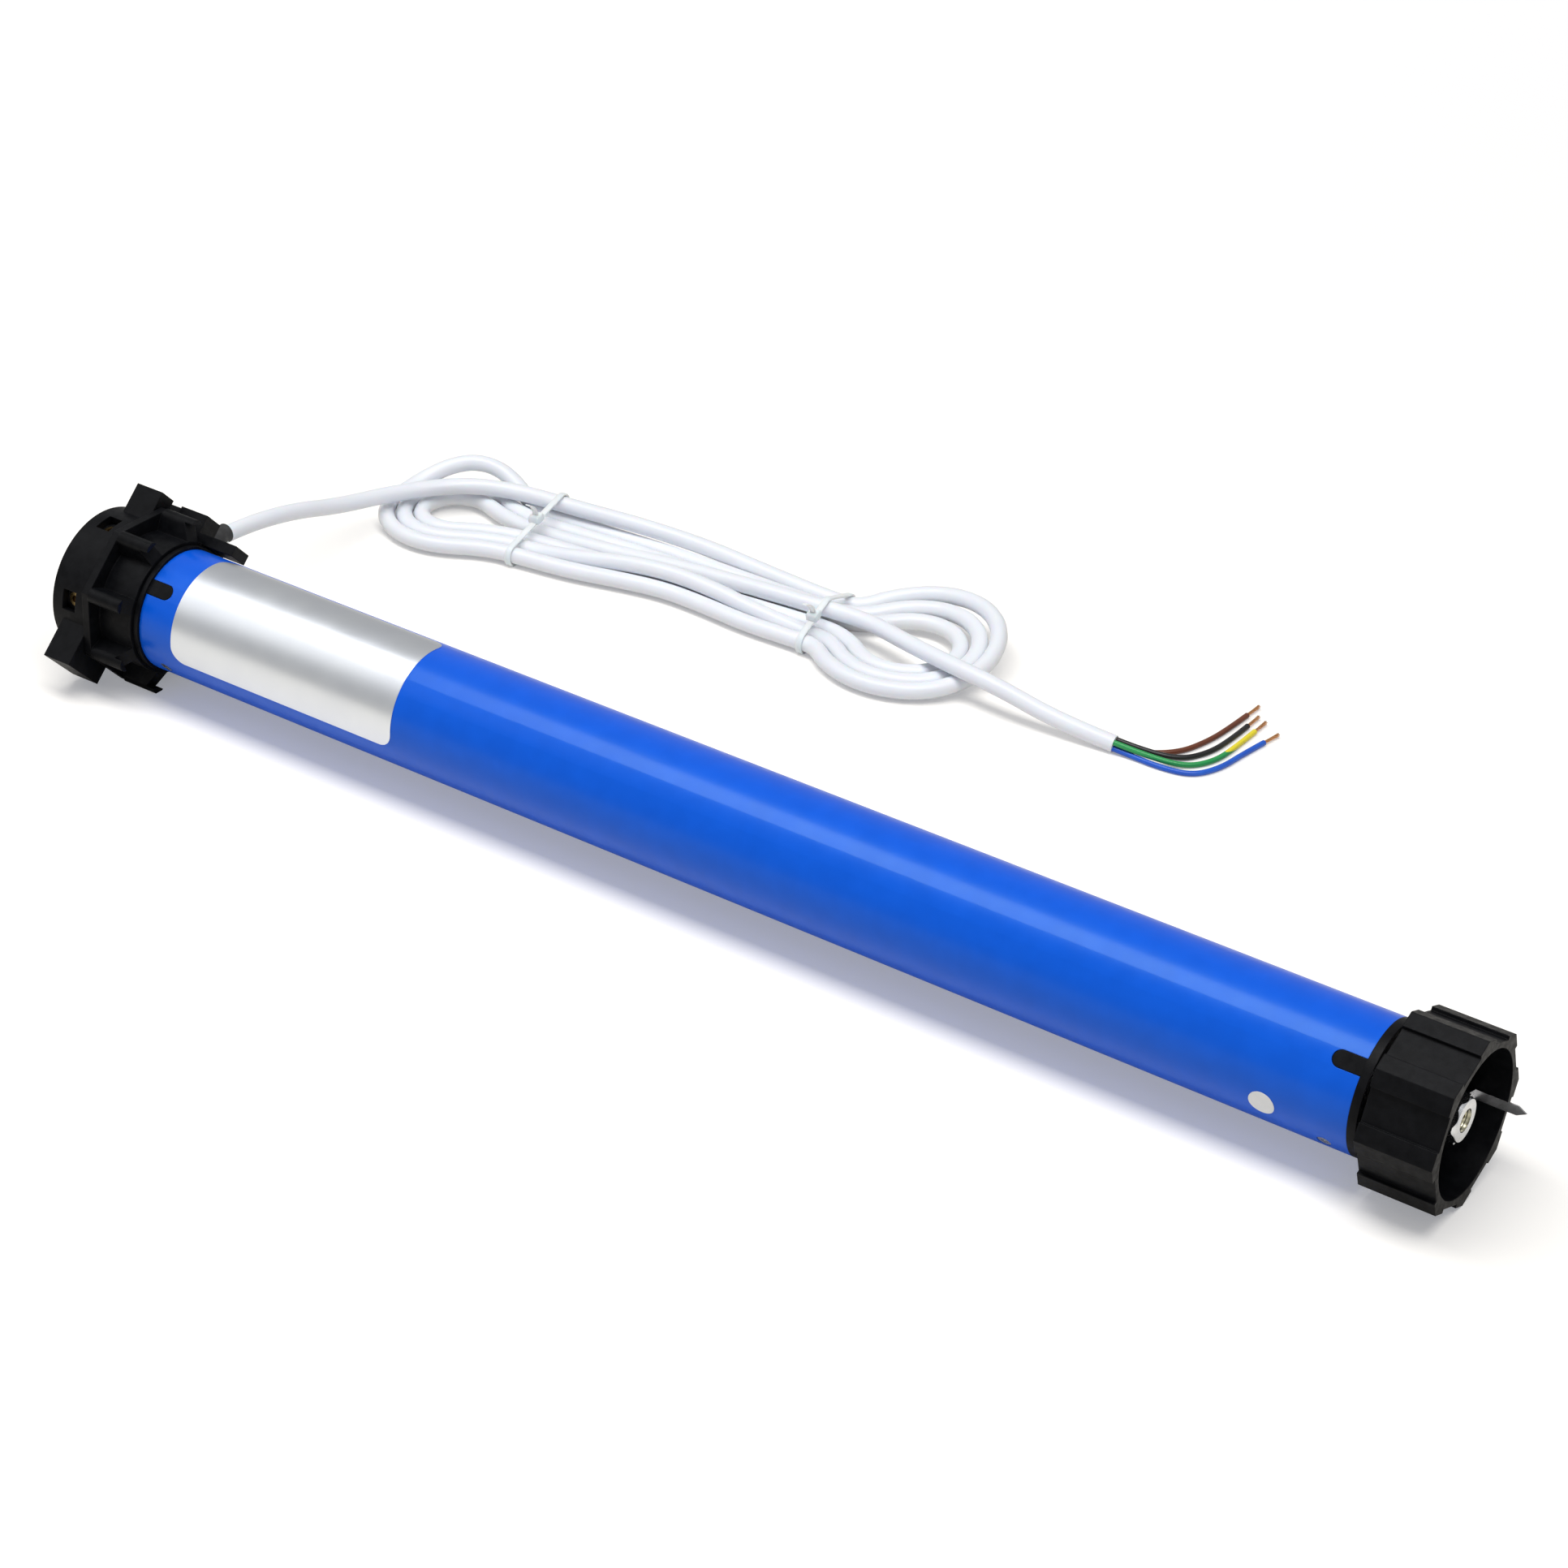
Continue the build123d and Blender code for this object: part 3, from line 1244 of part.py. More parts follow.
hank_samples = []
run_so_far = 0
for edge in hank_edges:
    count = ceil(edge.length / cord_r)
    for i in range(count):
        hank_samples.append((run_so_far + edge.length * i / count, edge.position_at(i / count)))
    run_so_far += edge.length
least = min(
    (p - q).length
    for i, (s, p) in enumerate(hank_samples)
    for t, q in hank_samples[i + 1:]
    if t - s > 6 * cord_r
)
print("hank least gap", round(least - 2 * cord_r, 2))
with BuildPart() as cable_hank:
    with BuildLine():
        add(hank_edges)
    with BuildSketch(Plane(origin=hank_knots[0][0], x_dir=(0, 0, 1), z_dir=hank_knots[0][1].normalized())):
        Circle(cord_r)
    sweep()
finish(cable_hank, "cable_hank")


def round_bends(points):
    """Radii for the bends of a route, each 0.45 of its shorter run over the half turn's tangent."""
    radii = []
    for before, here, after in zip(points, points[1:], points[2:]):
        run_in = here - before
        run_out = after - here
        turn = radians(run_in.get_angle(run_out))
        radii.append(0.45 * min(run_in.length, run_out.length) / tan(turn / 2))
    return radii


# Lead: straight out of the gland's seat, down behind the head and over the left loops
gland_x = axis_x + gland_station
lead_top = strand_z + strand_pitch + tie_gap / 2
lead_points = [
    Vector(gland_x, axis_y + gland_seat, axis_z),
    Vector(gland_x, 62, axis_z),
    Vector(-269.3, 95, 24.6),
    Vector(-269.6, 124, 15.6),
    Vector(-264.5, 151.5, lead_top + 0.6),
    hank_point(-hank_half - 41.5, 10.5, lead_top),
    hank_point(-hank_half - 20, half_width, strand_z + strand_pitch),
    hank_knots[0][0],
]
lead_radii = round_bends(lead_points)
print("lead radii", [round(r, 1) for r in lead_radii])
with BuildPart() as cable_lead:
    with BuildLine() as lead_line:
        FilletPolyline(*lead_points, radius=lead_radii)
    with BuildSketch(Plane(origin=lead_points[0], x_dir=(1, 0, 0), z_dir=(0, 1, 0))):
        Circle(cord_r)
    sweep()
finish(cable_lead, "cable_lead")
print("lead length", round(lead_line.wire().length, 1))

# Tail: from the right tie over the right loops, down to the floor where the sheath ends
tail_top = strand_z + strand_pitch + tie_gap
tail_points = [
    hank_knots[-1][0],
    hank_point(hank_half + tail_straight, 0, hank_knots[-1][0].Z),
    *(hank_point(hank_half + u, w, tail_top + lift) for u, w, lift in tail_steps),
    hank_point(hank_half + tail_reach, tail_side, cord_r + seat_gap / 2),
]
tail_radii = round_bends(tail_points)
print("tail radii", [round(r, 1) for r in tail_radii])
with BuildPart() as cable_tail:
    with BuildLine() as tail_line:
        FilletPolyline(*tail_points, radius=tail_radii)
    with BuildSketch(Plane(origin=tail_points[0], x_dir=(0, 0, 1), z_dir=hank_way)):
        Circle(cord_r)
    sweep()
finish(cable_tail, "cable_tail")
print("tail length", round(tail_line.wire().length, 1))

# Cores: four thin wires fanned out of the sheath's end, each with a bare copper tip
sheath_end = tail_points[-1]
sheath_way = (tail_points[-1] - tail_points[-2]).normalized()
sheath_side = Vector(0, 0, 1).cross(sheath_way).normalized()
sheath_up = sheath_way.cross(sheath_side)
core_offset = 1.25
core_floor = core_r + 0.05
core_names = ("core_brown", "core_black", "core_green_yellow", "core_blue")
core_signs = ((1, -1), (1, 1), (-1, 1), (-1, -1))
core_first_runs = (7.0, 10.0, 12.0, 7.0)
core_routes = (
    ((70.5, 185.5), (75.0, 200), (76.5, 213.5), (77.0, 226)),
    ((73.5, 182.0), (79.5, 193), (81.0, 207), (81.0, 219)),
    ((77.5, 178.5), (84.0, 189), (85.0, 203), (85.0, 217)),
    ((71.0, 172.5), (82.5, 175), (88.0, 186), (89.5, 200), (91.5, 212)),
)
copper_r = 0.65
copper_length = 9.0
core_tips = []
for name, signs, first_run, route in zip(core_names, core_signs, core_first_runs, core_routes):
    root = sheath_end + sheath_side * (signs[0] * core_offset) + sheath_up * (signs[1] * core_offset)
    core_points = [root, root + sheath_way * first_run]
    core_points += [Vector(x, y, core_floor) for x, y in route]
    core_radii = round_bends(core_points)
    print(name, "radii", [round(r, 1) for r in core_radii])
    with BuildPart() as core:
        with BuildLine():
            FilletPolyline(*core_points, radius=core_radii)
        with BuildSketch(Plane(origin=root, x_dir=sheath_side, z_dir=sheath_way)):
            Circle(core_r)
        sweep()
    finish(core, name)
    core_tips.append((core_points[-1], (core_points[-1] - core_points[-2]).normalized()))
with BuildPart() as copper_ends:
    for tip, way in core_tips:
        with BuildSketch(Plane(origin=tip, x_dir=(0, 0, 1), z_dir=way)):
            Circle(copper_r)
        extrude(amount=copper_length)
finish(copper_ends, "copper_ends")

# Cable ties: a strap round the strands at each end of the run, with its head and tail
top_strands = (hank_knots[0][0], hank_knots[-1][0])
tie_inner = cord_r + tie_gap
tie_tail_length = 9.0
with BuildPart() as cable_ties:
    for end, top in zip((-1, 1), top_strands):
        here = Plane(origin=hank_point(end * hank_half, 0, 0), x_dir=hank_side, z_dir=hank_way)
        top_w = (top - hank_point(end * hank_half, 0, 0)).dot(hank_side)
        corners = [(-half_width, strand_z), (half_width, strand_z), (top_w, top.Z)]
        with BuildSketch(here.offset(-tie_width / 2)):
            Polygon(*corners)
            offset(amount=tie_inner + tie_thickness)
            with BuildSketch(mode=Mode.SUBTRACT):
                Polygon(*corners)
                offset(amount=tie_inner)
        extrude(amount=tie_width)
        # The head sits on the slope of the strap, the cut tail stands up out of it
        slope = degrees(atan2(top.Z - strand_z, top_w + half_width))
        head_w = (top_w - half_width) / 2
        head_z = (top.Z + strand_z) / 2 + (tie_inner + tie_thickness / 2) / cos(radians(slope))
        with BuildSketch(here.offset(-tie_head / 2)):
            with Locations(Location((head_w, head_z), slope)):
                with Locations((0, tie_head / 3)):
                    Rectangle(tie_head, 2 * tie_head / 3)
        extrude(amount=tie_head)
        with BuildSketch(here.offset(-tie_width / 2)):
            with Locations(Location((head_w, head_z), slope)):
                with Locations((0, tie_head / 3 + tie_tail_length / 2)):
                    Rectangle(tie_thickness, tie_tail_length)
        extrude(amount=tie_width)
finish(cable_ties, "cable_ties")
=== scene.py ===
import bmesh
import bpy
import numpy as np
from mathutils import Matrix


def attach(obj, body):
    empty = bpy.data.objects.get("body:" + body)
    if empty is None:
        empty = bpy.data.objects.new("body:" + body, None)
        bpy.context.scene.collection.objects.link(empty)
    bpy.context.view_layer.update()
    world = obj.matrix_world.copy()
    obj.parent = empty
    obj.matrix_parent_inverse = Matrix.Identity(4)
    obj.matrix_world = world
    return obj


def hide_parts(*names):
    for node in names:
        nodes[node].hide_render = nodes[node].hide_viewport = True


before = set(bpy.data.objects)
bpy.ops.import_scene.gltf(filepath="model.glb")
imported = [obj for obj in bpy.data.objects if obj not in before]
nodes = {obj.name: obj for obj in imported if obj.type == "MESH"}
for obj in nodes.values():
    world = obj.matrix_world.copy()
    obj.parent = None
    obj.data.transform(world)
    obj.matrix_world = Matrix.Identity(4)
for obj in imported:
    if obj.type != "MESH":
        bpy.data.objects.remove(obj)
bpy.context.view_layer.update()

# Camera: it looks down from the drive wheel's side, about thirty degrees above the floor,
# with the lens and the slight roll that the perspective of the photograph gives.
camera = bpy.data.objects.new("camera", bpy.data.cameras.new("camera"))
bpy.context.scene.collection.objects.link(camera)
camera.data.sensor_width = 36
camera.data.lens = 86.5
camera_right = (0.8238, 0.5652, 0.0445)
camera_up = (-0.3201, 0.3989, 0.8593)
camera_back = (0.4679, -0.7221, 0.5095)
camera_place = (0.5914, -0.8772, 0.67555)
camera.matrix_world = Matrix(
    [(*axes, place) for *axes, place in zip(camera_right, camera_up, camera_back, camera_place)]
    + [(0, 0, 0, 1)]
)
bpy.context.scene.camera = camera

# Motor tube: a steel tube of 45 mm, powder coated in glossy blue.
# The coat has a faint orange peel under a thin clear gloss, and its sheen leans to cyan.


def noise_bump(material, scale, strength, distance):
    """Bump from a 3-D noise on Object coordinates, wired to the shader's normal."""
    tree = material.node_tree
    where = tree.nodes.new("ShaderNodeTexCoord")
    noise = tree.nodes.new("ShaderNodeTexNoise")
    noise.inputs["Scale"].default_value = scale
    noise.inputs["Detail"].default_value = 3.0
    bump = tree.nodes.new("ShaderNodeBump")
    bump.inputs["Strength"].default_value = strength
    bump.inputs["Distance"].default_value = distance
    tree.links.new(where.outputs["Object"], noise.inputs["Vector"])
    tree.links.new(noise.outputs["Fac"], bump.inputs["Height"])
    tree.links.new(bump.outputs["Normal"], tree.nodes["Principled BSDF"].inputs["Normal"])
    return where


def noise_between(material, where, scale, low, high, socket):
    """Two values or colours blended by a 3-D noise, wired to one socket of the shader: all low
    where the noise is under 0.35, all high where it is over 0.65, and mixed evenly between."""
    tree = material.node_tree
    noise = tree.nodes.new("ShaderNodeTexNoise")
    noise.inputs["Scale"].default_value = scale
    noise.inputs["Detail"].default_value = 4.0
    ramp = tree.nodes.new("ShaderNodeValToRGB")
    ramp.color_ramp.elements[0].position = 0.35
    ramp.color_ramp.elements[1].position = 0.65
    if isinstance(low, float):
        low = (low, low, low)
        high = (high, high, high)
    ramp.color_ramp.elements[0].color = (*low, 1)
    ramp.color_ramp.elements[1].color = (*high, 1)
    tree.links.new(where.outputs["Object"], noise.inputs["Vector"])
    tree.links.new(noise.outputs["Fac"], ramp.inputs["Fac"])
    tree.links.new(ramp.outputs["Color"], tree.nodes["Principled BSDF"].inputs[socket])


def finish_material(name, low, high, rough, metal, scale, strength, distance):
    """Material of two close colours and two roughnesses over a fine noise bump. The patches of
    colour are eight times as wide as the grain of the bump, those of roughness five times."""
    material = bpy.data.materials.new(name)
    material.use_nodes = True
    shader = material.node_tree.nodes["Principled BSDF"]
    shader.inputs["Metallic"].default_value = metal
    where = noise_bump(material, scale, strength, distance)
    noise_between(material, where, scale / 8, low, high, "Base Color")
    noise_between(material, where, scale / 5, rough[0], rough[1], "Roughness")
    return material


def round_edges(material, radius):
    """Edges that shade as if rounded by a radius, under the noise bump."""
    tree = material.node_tree
    soft_edge = tree.nodes.new("ShaderNodeBevel")
    soft_edge.samples = 4
    soft_edge.inputs["Radius"].default_value = radius
    tree.links.new(soft_edge.outputs["Normal"], tree.nodes["Bump"].inputs["Normal"])


def wear(material, *names):
    """The CAD nodes of these names take the material."""
    for name in names:
        mesh = nodes[name].data
        mesh.materials.clear()
        mesh.materials.append(material)


blue_coat = finish_material(
    "blue_coat", (0.001, 0.090, 0.64), (0.0015, 0.097, 0.68), (0.29, 0.34), 0.0, 900, 0.16, 0.00008
)
blue_sockets = blue_coat.node_tree.nodes["Principled BSDF"].inputs
blue_sockets["Coat Weight"].default_value = 0.1
blue_sockets["Coat Roughness"].default_value = 0.16
blue_sockets["Specular IOR Level"].default_value = 0.3
blue_sockets["Specular Tint"].default_value = (0.45, 0.93, 1, 1)
round_edges(blue_coat, 0.0004)
wear(blue_coat, "motor_tube")

# Foil label: bare silver polyester foil, 100 mm long, wrapped over the tube near the head.
# Rolling leaves fine lines along the motor's axis.
# The faint blue in the foil's silver colour is a painted blue reflection.
foil = finish_material(
    "foil", (0.80, 0.83, 0.88), (0.83, 0.86, 0.90), (0.31, 0.34), 1.0, 500, 0.04, 0.00002
)
foil_tree = foil.node_tree
foil_stretch = foil_tree.nodes.new("ShaderNodeMapping")
foil_stretch.inputs["Scale"].default_value = (0.05, 1, 1)
foil_where = foil_tree.nodes["Texture Coordinate"]
foil_lines = foil_tree.nodes["Noise Texture"]
foil_tree.links.new(foil_where.outputs["Object"], foil_stretch.inputs["Vector"])
foil_tree.links.new(foil_stretch.outputs["Vector"], foil_lines.inputs["Vector"])
wear(foil, "label")

# Sticker: a small round of white paper, bare, stuck on the tube near its right end.
# The paper is matt against the coat.
white_paper = finish_material(
    "white_paper", (0.78, 0.80, 0.80), (0.84, 0.85, 0.85), (0.5, 0.6), 0.0, 1500, 0.1, 0.00003
)
wear(white_paper, "sticker")

# Head drum, end cap, crown, sleeve, gearbox cap and drive wheel: black glass-filled nylon.
# The mould leaves a fine matte grain, with patches that are a little glossier.
black_nylon = finish_material(
    "black_nylon", (0.002, 0.0022, 0.003), (0.0045, 0.0048, 0.006), (0.36, 0.5), 0.0, 2200, 0.35, 0.00008
)
black_nylon.node_tree.nodes["Principled BSDF"].inputs["Specular IOR Level"].default_value = 0.1
round_edges(black_nylon, 0.0005)
wear(
    black_nylon,
    "head_housing",
    "head_end_cap",
    "crown",
    "head_sleeve",
    "gearbox_end_cap",
    "drive_wheel",
)

# Cable gland: a plug of black rubber, pressed into the drum where the lead comes out.
# It is duller and greyer than the nylon round it.
gland_rubber = finish_material(
    "gland_rubber", (0.02, 0.02, 0.021), (0.03, 0.03, 0.031), (0.6, 0.7), 0.0, 1500, 0.2, 0.00004
)
wear(gland_rubber, "cable_gland")

# Screws and output shaft: zinc plated steel, bright with faint marks. The screw in the end of
# the shaft is passivated yellow.
zinc = finish_material(
    "zinc", (0.70, 0.72, 0.76), (0.80, 0.81, 0.83), (0.2, 0.28), 1.0, 2000, 0.12, 0.00003
)
wear(zinc, "output_shaft", "tube_screws", "head_screws", "sleeve_screws", "terminal_screws")
yellow_zinc = finish_material(
    "yellow_zinc", (0.55, 0.50, 0.28), (0.72, 0.66, 0.42), (0.25, 0.4), 1.0, 900, 0.2, 0.00004
)
wear(yellow_zinc, "shaft_screw")

# Spring clip: a bent strip of bright spring steel, hooked over the shaft in the wheel's mouth.
# Its pointed tongue reaches out of the wheel.
spring_steel = finish_material(
    "spring_steel", (0.74, 0.75, 0.78), (0.80, 0.80, 0.82), (0.24, 0.27), 1.0, 2400, 0.02, 0.00001
)
wear(spring_steel, "spring_clip")

# Limit screws: turned brass, darkened with age, with a hexagon socket, deep in the two windows
# of the drum.
brass = finish_material(
    "brass", (0.20, 0.14, 0.055), (0.30, 0.21, 0.09), (0.25, 0.4), 1.0, 900, 0.1, 0.00004
)
wear(brass, "limit_screw_up", "limit_screw_down")

# Gears, cams and plungers of the limit unit, and the first stage's planets: natural acetal,
# moulded, cream coloured and slightly waxy.
acetal = finish_material(
    "acetal", (0.72, 0.70, 0.62), (0.80, 0.78, 0.71), (0.35, 0.45), 0.0, 900, 0.1, 0.00004
)
wear(
    acetal,
    "limit_pinion",
    "limit_gear",
    "cam_wheel_up",
    "cam_wheel_down",
    "switch_plunger_up",
    "switch_plunger_down",
    "planet_1_1",
    "planet_1_2",
    "planet_1_3",
)

# Frame of the limit unit and sleeve of the capacitor: plain black mouldings that plug into the
# tube from the head's side.
frame_black = finish_material(
    "frame_black", (0.014, 0.014, 0.015), (0.022, 0.022, 0.023), (0.45, 0.6), 0.0, 1200, 0.2, 0.00005
)
wear(frame_black, "limit_frame", "capacitor_sleeve")

# Microswitches and terminal block: grey moulded cases. The switches clip into the frame, and
# the block sits behind it.
grey_plastic = finish_material(
    "grey_plastic", (0.24, 0.25, 0.26), (0.30, 0.31, 0.32), (0.4, 0.5), 0.0, 1200, 0.15, 0.00004
)
wear(grey_plastic, "limit_switches", "terminal_block")

# Capacitor: a can of drawn aluminium with its terminals at one end, held in the sleeve.
# Drawing leaves faint smears on it.
can_aluminium = finish_material(
    "can_aluminium", (0.62, 0.63, 0.64), (0.74, 0.75, 0.76), (0.25, 0.38), 1.0, 600, 0.1, 0.00004
)
wear(can_aluminium, "capacitor")

# Motor shields: die cast alloy with a sandy skin, pressed into the tube at both ends of the
# stator to hold the bearings.
die_cast = finish_material(
    "die_cast", (0.50, 0.51, 0.52), (0.60, 0.61, 0.62), (0.4, 0.55), 1.0, 1600, 0.35, 0.00007
)
wear(die_cast, "front_shield", "rear_shield")

# Ball bearings, rotor shaft and the iron of the brake: ground steel under a film of oil.
# They are pressed or bolted together inside the tube.
oiled_steel = finish_material(
    "oiled_steel", (0.22, 0.22, 0.23), (0.34, 0.34, 0.35), (0.2, 0.35), 1.0, 700, 0.1, 0.00004
)
wear(
    oiled_steel,
    "motor_bearings",
    "output_bearing",
    "rotor_shaft",
    "brake_housing",
    "brake_armature",
    "brake_end_plate",
)

# Stator and rotor: stacks of electrical steel sheets, so the bore and the outside show fine
# rings square to the axis.
lamination = finish_material(
    "lamination", (0.25, 0.25, 0.27), (0.36, 0.36, 0.38), (0.3, 0.45), 1.0, 900, 0.1, 0.00004
)
sheet_tree = lamination.node_tree
sheet_rings = sheet_tree.nodes.new("ShaderNodeTexWave")
sheet_rings.inputs["Scale"].default_value = 320
sheet_where = sheet_tree.nodes["Texture Coordinate"]
sheet_tree.links.new(sheet_where.outputs["Object"], sheet_rings.inputs["Vector"])
sheet_tree.links.new(sheet_rings.outputs["Fac"], sheet_tree.nodes["Bump"].inputs["Height"])
wear(lamination, "stator_core", "rotor")

# Stator winding and brake coil: enamelled copper wire, wound tight and soaked in varnish.
# The wire leaves a coarse bump.
enamelled_copper = finish_material(
    "enamelled_copper", (0.42, 0.12, 0.04), (0.62, 0.22, 0.08), (0.22, 0.35), 0.8, 1100, 0.5, 0.0002
)
wear(enamelled_copper, "stator_winding", "brake_coil")

# Brake disc: a pressed friction lining, dull brown, keyed to the rotor shaft between the
# armature and the end plate.
lining = finish_material(
    "lining", (0.06, 0.045, 0.035), (0.10, 0.08, 0.06), (0.75, 0.9), 0.0, 1400, 0.6, 0.0002
)
wear(lining, "brake_disc")

# Gearbox: ring gear, second stage's planets and carrier, pressed and sintered from steel
# powder, dull and finely porous.
sintered_steel = finish_material(
    "sintered_steel", (0.30, 0.30, 0.31), (0.42, 0.42, 0.43), (0.35, 0.5), 1.0, 2600, 0.4, 0.00006
)
wear(
    sintered_steel,
    "gearbox_housing",
    "planet_carrier",
    "planet_2_1",
    "planet_2_2",
    "planet_2_3",
)

# Mains lead: 6.5 mm white PVC, out of the gland behind the head, down to the floor and folded
# into a hank of seven strands, tied at two places; its last stretch runs free to the cores.
# The hank's sizes are in millimetres until the last line of the route.
# The lead's bluish grey, a little below white, is painted shade over the white PVC.
white_pvc = finish_material(
    "white_pvc", (0.80, 0.825, 0.87), (0.83, 0.855, 0.90), (0.32, 0.4), 0.0, 260, 0.08, 0.0002
)
white_pvc_sockets = white_pvc.node_tree.nodes["Principled BSDF"].inputs
white_pvc_sockets["Subsurface Weight"].default_value = 0.15
white_pvc_sockets["Subsurface Scale"].default_value = 0.002
cord_radius = 0.00325
hank_middle = (-143.5, 175.5)
hank_heading = np.radians(5.7)
hank_half = 64.0
pitch = 7.1
floor_strand = 4.5
half_width = 2.5 * pitch
roll = np.radians(60)
far_run_points, near_run_points, loop_points = 5, 7, 12
right_loop, right_flare, right_lifts = 34.0, 12.0, (9.0, 5.0, 1.5)
left_loop, left_flare, left_lifts = 28.5, 40.0, (9.5, 0.0, 0.0)


def in_hank(u, w, z):
    """Points given in the hank's own frame, u along its run and w to its far side: turned by
    its heading and moved to its middle, in millimetres."""
    u, w, z = np.broadcast_arrays(np.asarray(u, float), w, z)
    x = hank_middle[0] + u * np.cos(hank_heading) - w * np.sin(hank_heading)
    y = hank_middle[1] + u * np.sin(hank_heading) + w * np.cos(hank_heading)
    return np.stack([x, y, z], axis=-1)


def strand_run(number, count):
    """Control points of one strand between the ties.

    Odd strands run right: each rolls about its neighbour by an eased share of sixty degrees.
    Even strands run left on the near side: half way, the middle one has rolled sixty degrees
    over its neighbour and the outer one has closed up to it, so the hank is narrowest there."""
    share = np.linspace(0.06, 0.94, count)
    level = np.zeros(count)
    turn = roll * share**2 * (3 - 2 * share)
    over = roll * np.sin(np.pi * share) ** 2
    inner = -pitch / 2 + 2 * pitch * np.cos(turn)
    outer = pitch / 2 + 2 * pitch * np.cos(turn)
    if number == 1:
        w, lift = outer + pitch * np.sin(1.5 * turn), pitch * np.cos(1.5 * turn)
    elif number == 3:
        w, lift = outer, level
    elif number == 5:
        w, lift = inner, level
    elif number == 7:
        w, lift = -pitch / 2 + pitch * np.cos(turn), pitch * np.sin(turn)
    elif number == 2:
        w, lift = -pitch / 2 - 2 * pitch * np.cos(over), level
    elif number == 4:
        w, lift = -pitch / 2 - pitch * np.cos(over), pitch * np.sin(over)
    else:
        w, lift = level - pitch / 2, level
    points = in_hank((2 * share - 1) * hank_half, w, floor_strand + lift)
    return points if number % 2 else points[::-1]


def end_loop(end, loop_radius, flare_radius, number, count, lift, lift_from, lift_to):
    """Control points of one end loop: an arc that flares out of the tie, the main turn about a
    point on the hank's middle line, and the flare back in; inner loops are a pitch smaller.
    The stretch between the two lift shares springs up off the floor by the lift, as a squared
    sine."""
    flare = np.arccos((half_width + flare_radius) / (flare_radius + loop_radius))
    middle = hank_half + (flare_radius + loop_radius) * np.sin(flare)
    outward = flare_radius + number * pitch
    main = loop_radius - number * pitch
    opening = flare * np.array([0.25, 0.75])
    u_out = hank_half + outward * np.sin(opening)
    w_out = half_width + flare_radius - outward * np.cos(opening)
    swing = (flare + np.pi / 2) * (1 - 2 * np.linspace(0.04, 0.96, count))
    u = np.concatenate([u_out, middle + main * np.cos(swing), u_out[::-1]])
    w = np.concatenate([w_out, main * np.sin(swing), -w_out[::-1]])
    share = np.linspace(0, 1, count + 4)
    raised = np.clip((share - lift_from) / (lift_to - lift_from), 0, 1)
    return in_hank(end * u, end * w, floor_strand + lift * np.sin(np.pi * raised) ** 2)


lead_points = np.vstack(
    [
        (-268.9, 31.02, 29.85),
        (-268.9, 62, 29.85),
        (-269.3, 95, 24.6),
        (-269.6, 124, 15.6),
        (-264.5, 151.5, 12.4),
        in_hank(-hank_half - 41.5, 10.5, 11.8),
        in_hank(-hank_half - 20, half_width, floor_strand + pitch),
    ]
)
tail_points = np.vstack(
    [
        in_hank(82, 0, floor_strand + 6.15),
        in_hank(101, -8.5, 11.75),
        in_hank(123, -16.5, 12.85),
        in_hank(147, -21.5, 12.15),
        in_hank(171, -22, 6.0),
        in_hank(193.5, -21.5, 3.35),
    ]
)
route = [lead_points]
for turn in range(3):
    route += [
        strand_run(2 * turn + 1, far_run_points),
        end_loop(1, right_loop, right_flare, turn, loop_points, right_lifts[turn], 0.0, 0.68),
        strand_run(2 * turn + 2, near_run_points),
        end_loop(-1, left_loop, left_flare, turn, loop_points, left_lifts[turn], 0.5, 1.0),
    ]
route += [strand_run(7, far_run_points), tail_points]
lead_route = np.vstack(route) / 1000


def cord_curve(name, points, radius, material):
    """A round cord on one open NURBS spline of order three through its ends."""
    curve = bpy.data.curves.new(name, "CURVE")
    curve.dimensions = "3D"
    spline = curve.splines.new("NURBS")
    spline.points.add(len(points) - 1)
    spline.points.foreach_set("co", np.c_[points, np.ones(len(points))].ravel())
    spline.order_u = 3
    spline.use_endpoint_u = True
    curve.resolution_u = 8
    curve.bevel_depth = radius
    curve.bevel_resolution = 6
    curve.use_fill_caps = True
    curve.materials.append(material)
    piece = bpy.data.objects.new(name, curve)
    bpy.context.scene.collection.objects.link(piece)
    return piece


mains_lead = cord_curve("mains_lead", lead_route, cord_radius, white_pvc)
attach(mains_lead, "housing")
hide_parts("cable_lead", "cable_hank", "cable_tail")

# Strain relief: a tapered black rubber sleeve with shallow rings, pushed over the lead and
# held in the gland of the drum.
relief_length = 0.024
relief_start_radius = 0.0052
relief_taper = 0.0017
relief_ring_height = 0.00022
relief_rings = 5
relief_bore = cord_radius - 0.0002
relief_place = lead_route[0] + np.array([0, 0.0036, 0])


def grid_faces(rows, columns):
    """Quads of a grid of rows and columns of points, whose columns close on themselves."""
    row, column = np.meshgrid(np.arange(rows - 1), np.arange(columns), indexing="ij")
    after = (column + 1) % columns
    corners = (
        row * columns + column,
        row * columns + after,
        (row + 1) * columns + after,
        (row + 1) * columns + column,
    )
    return np.stack(corners, axis=-1).reshape(-1, 4)


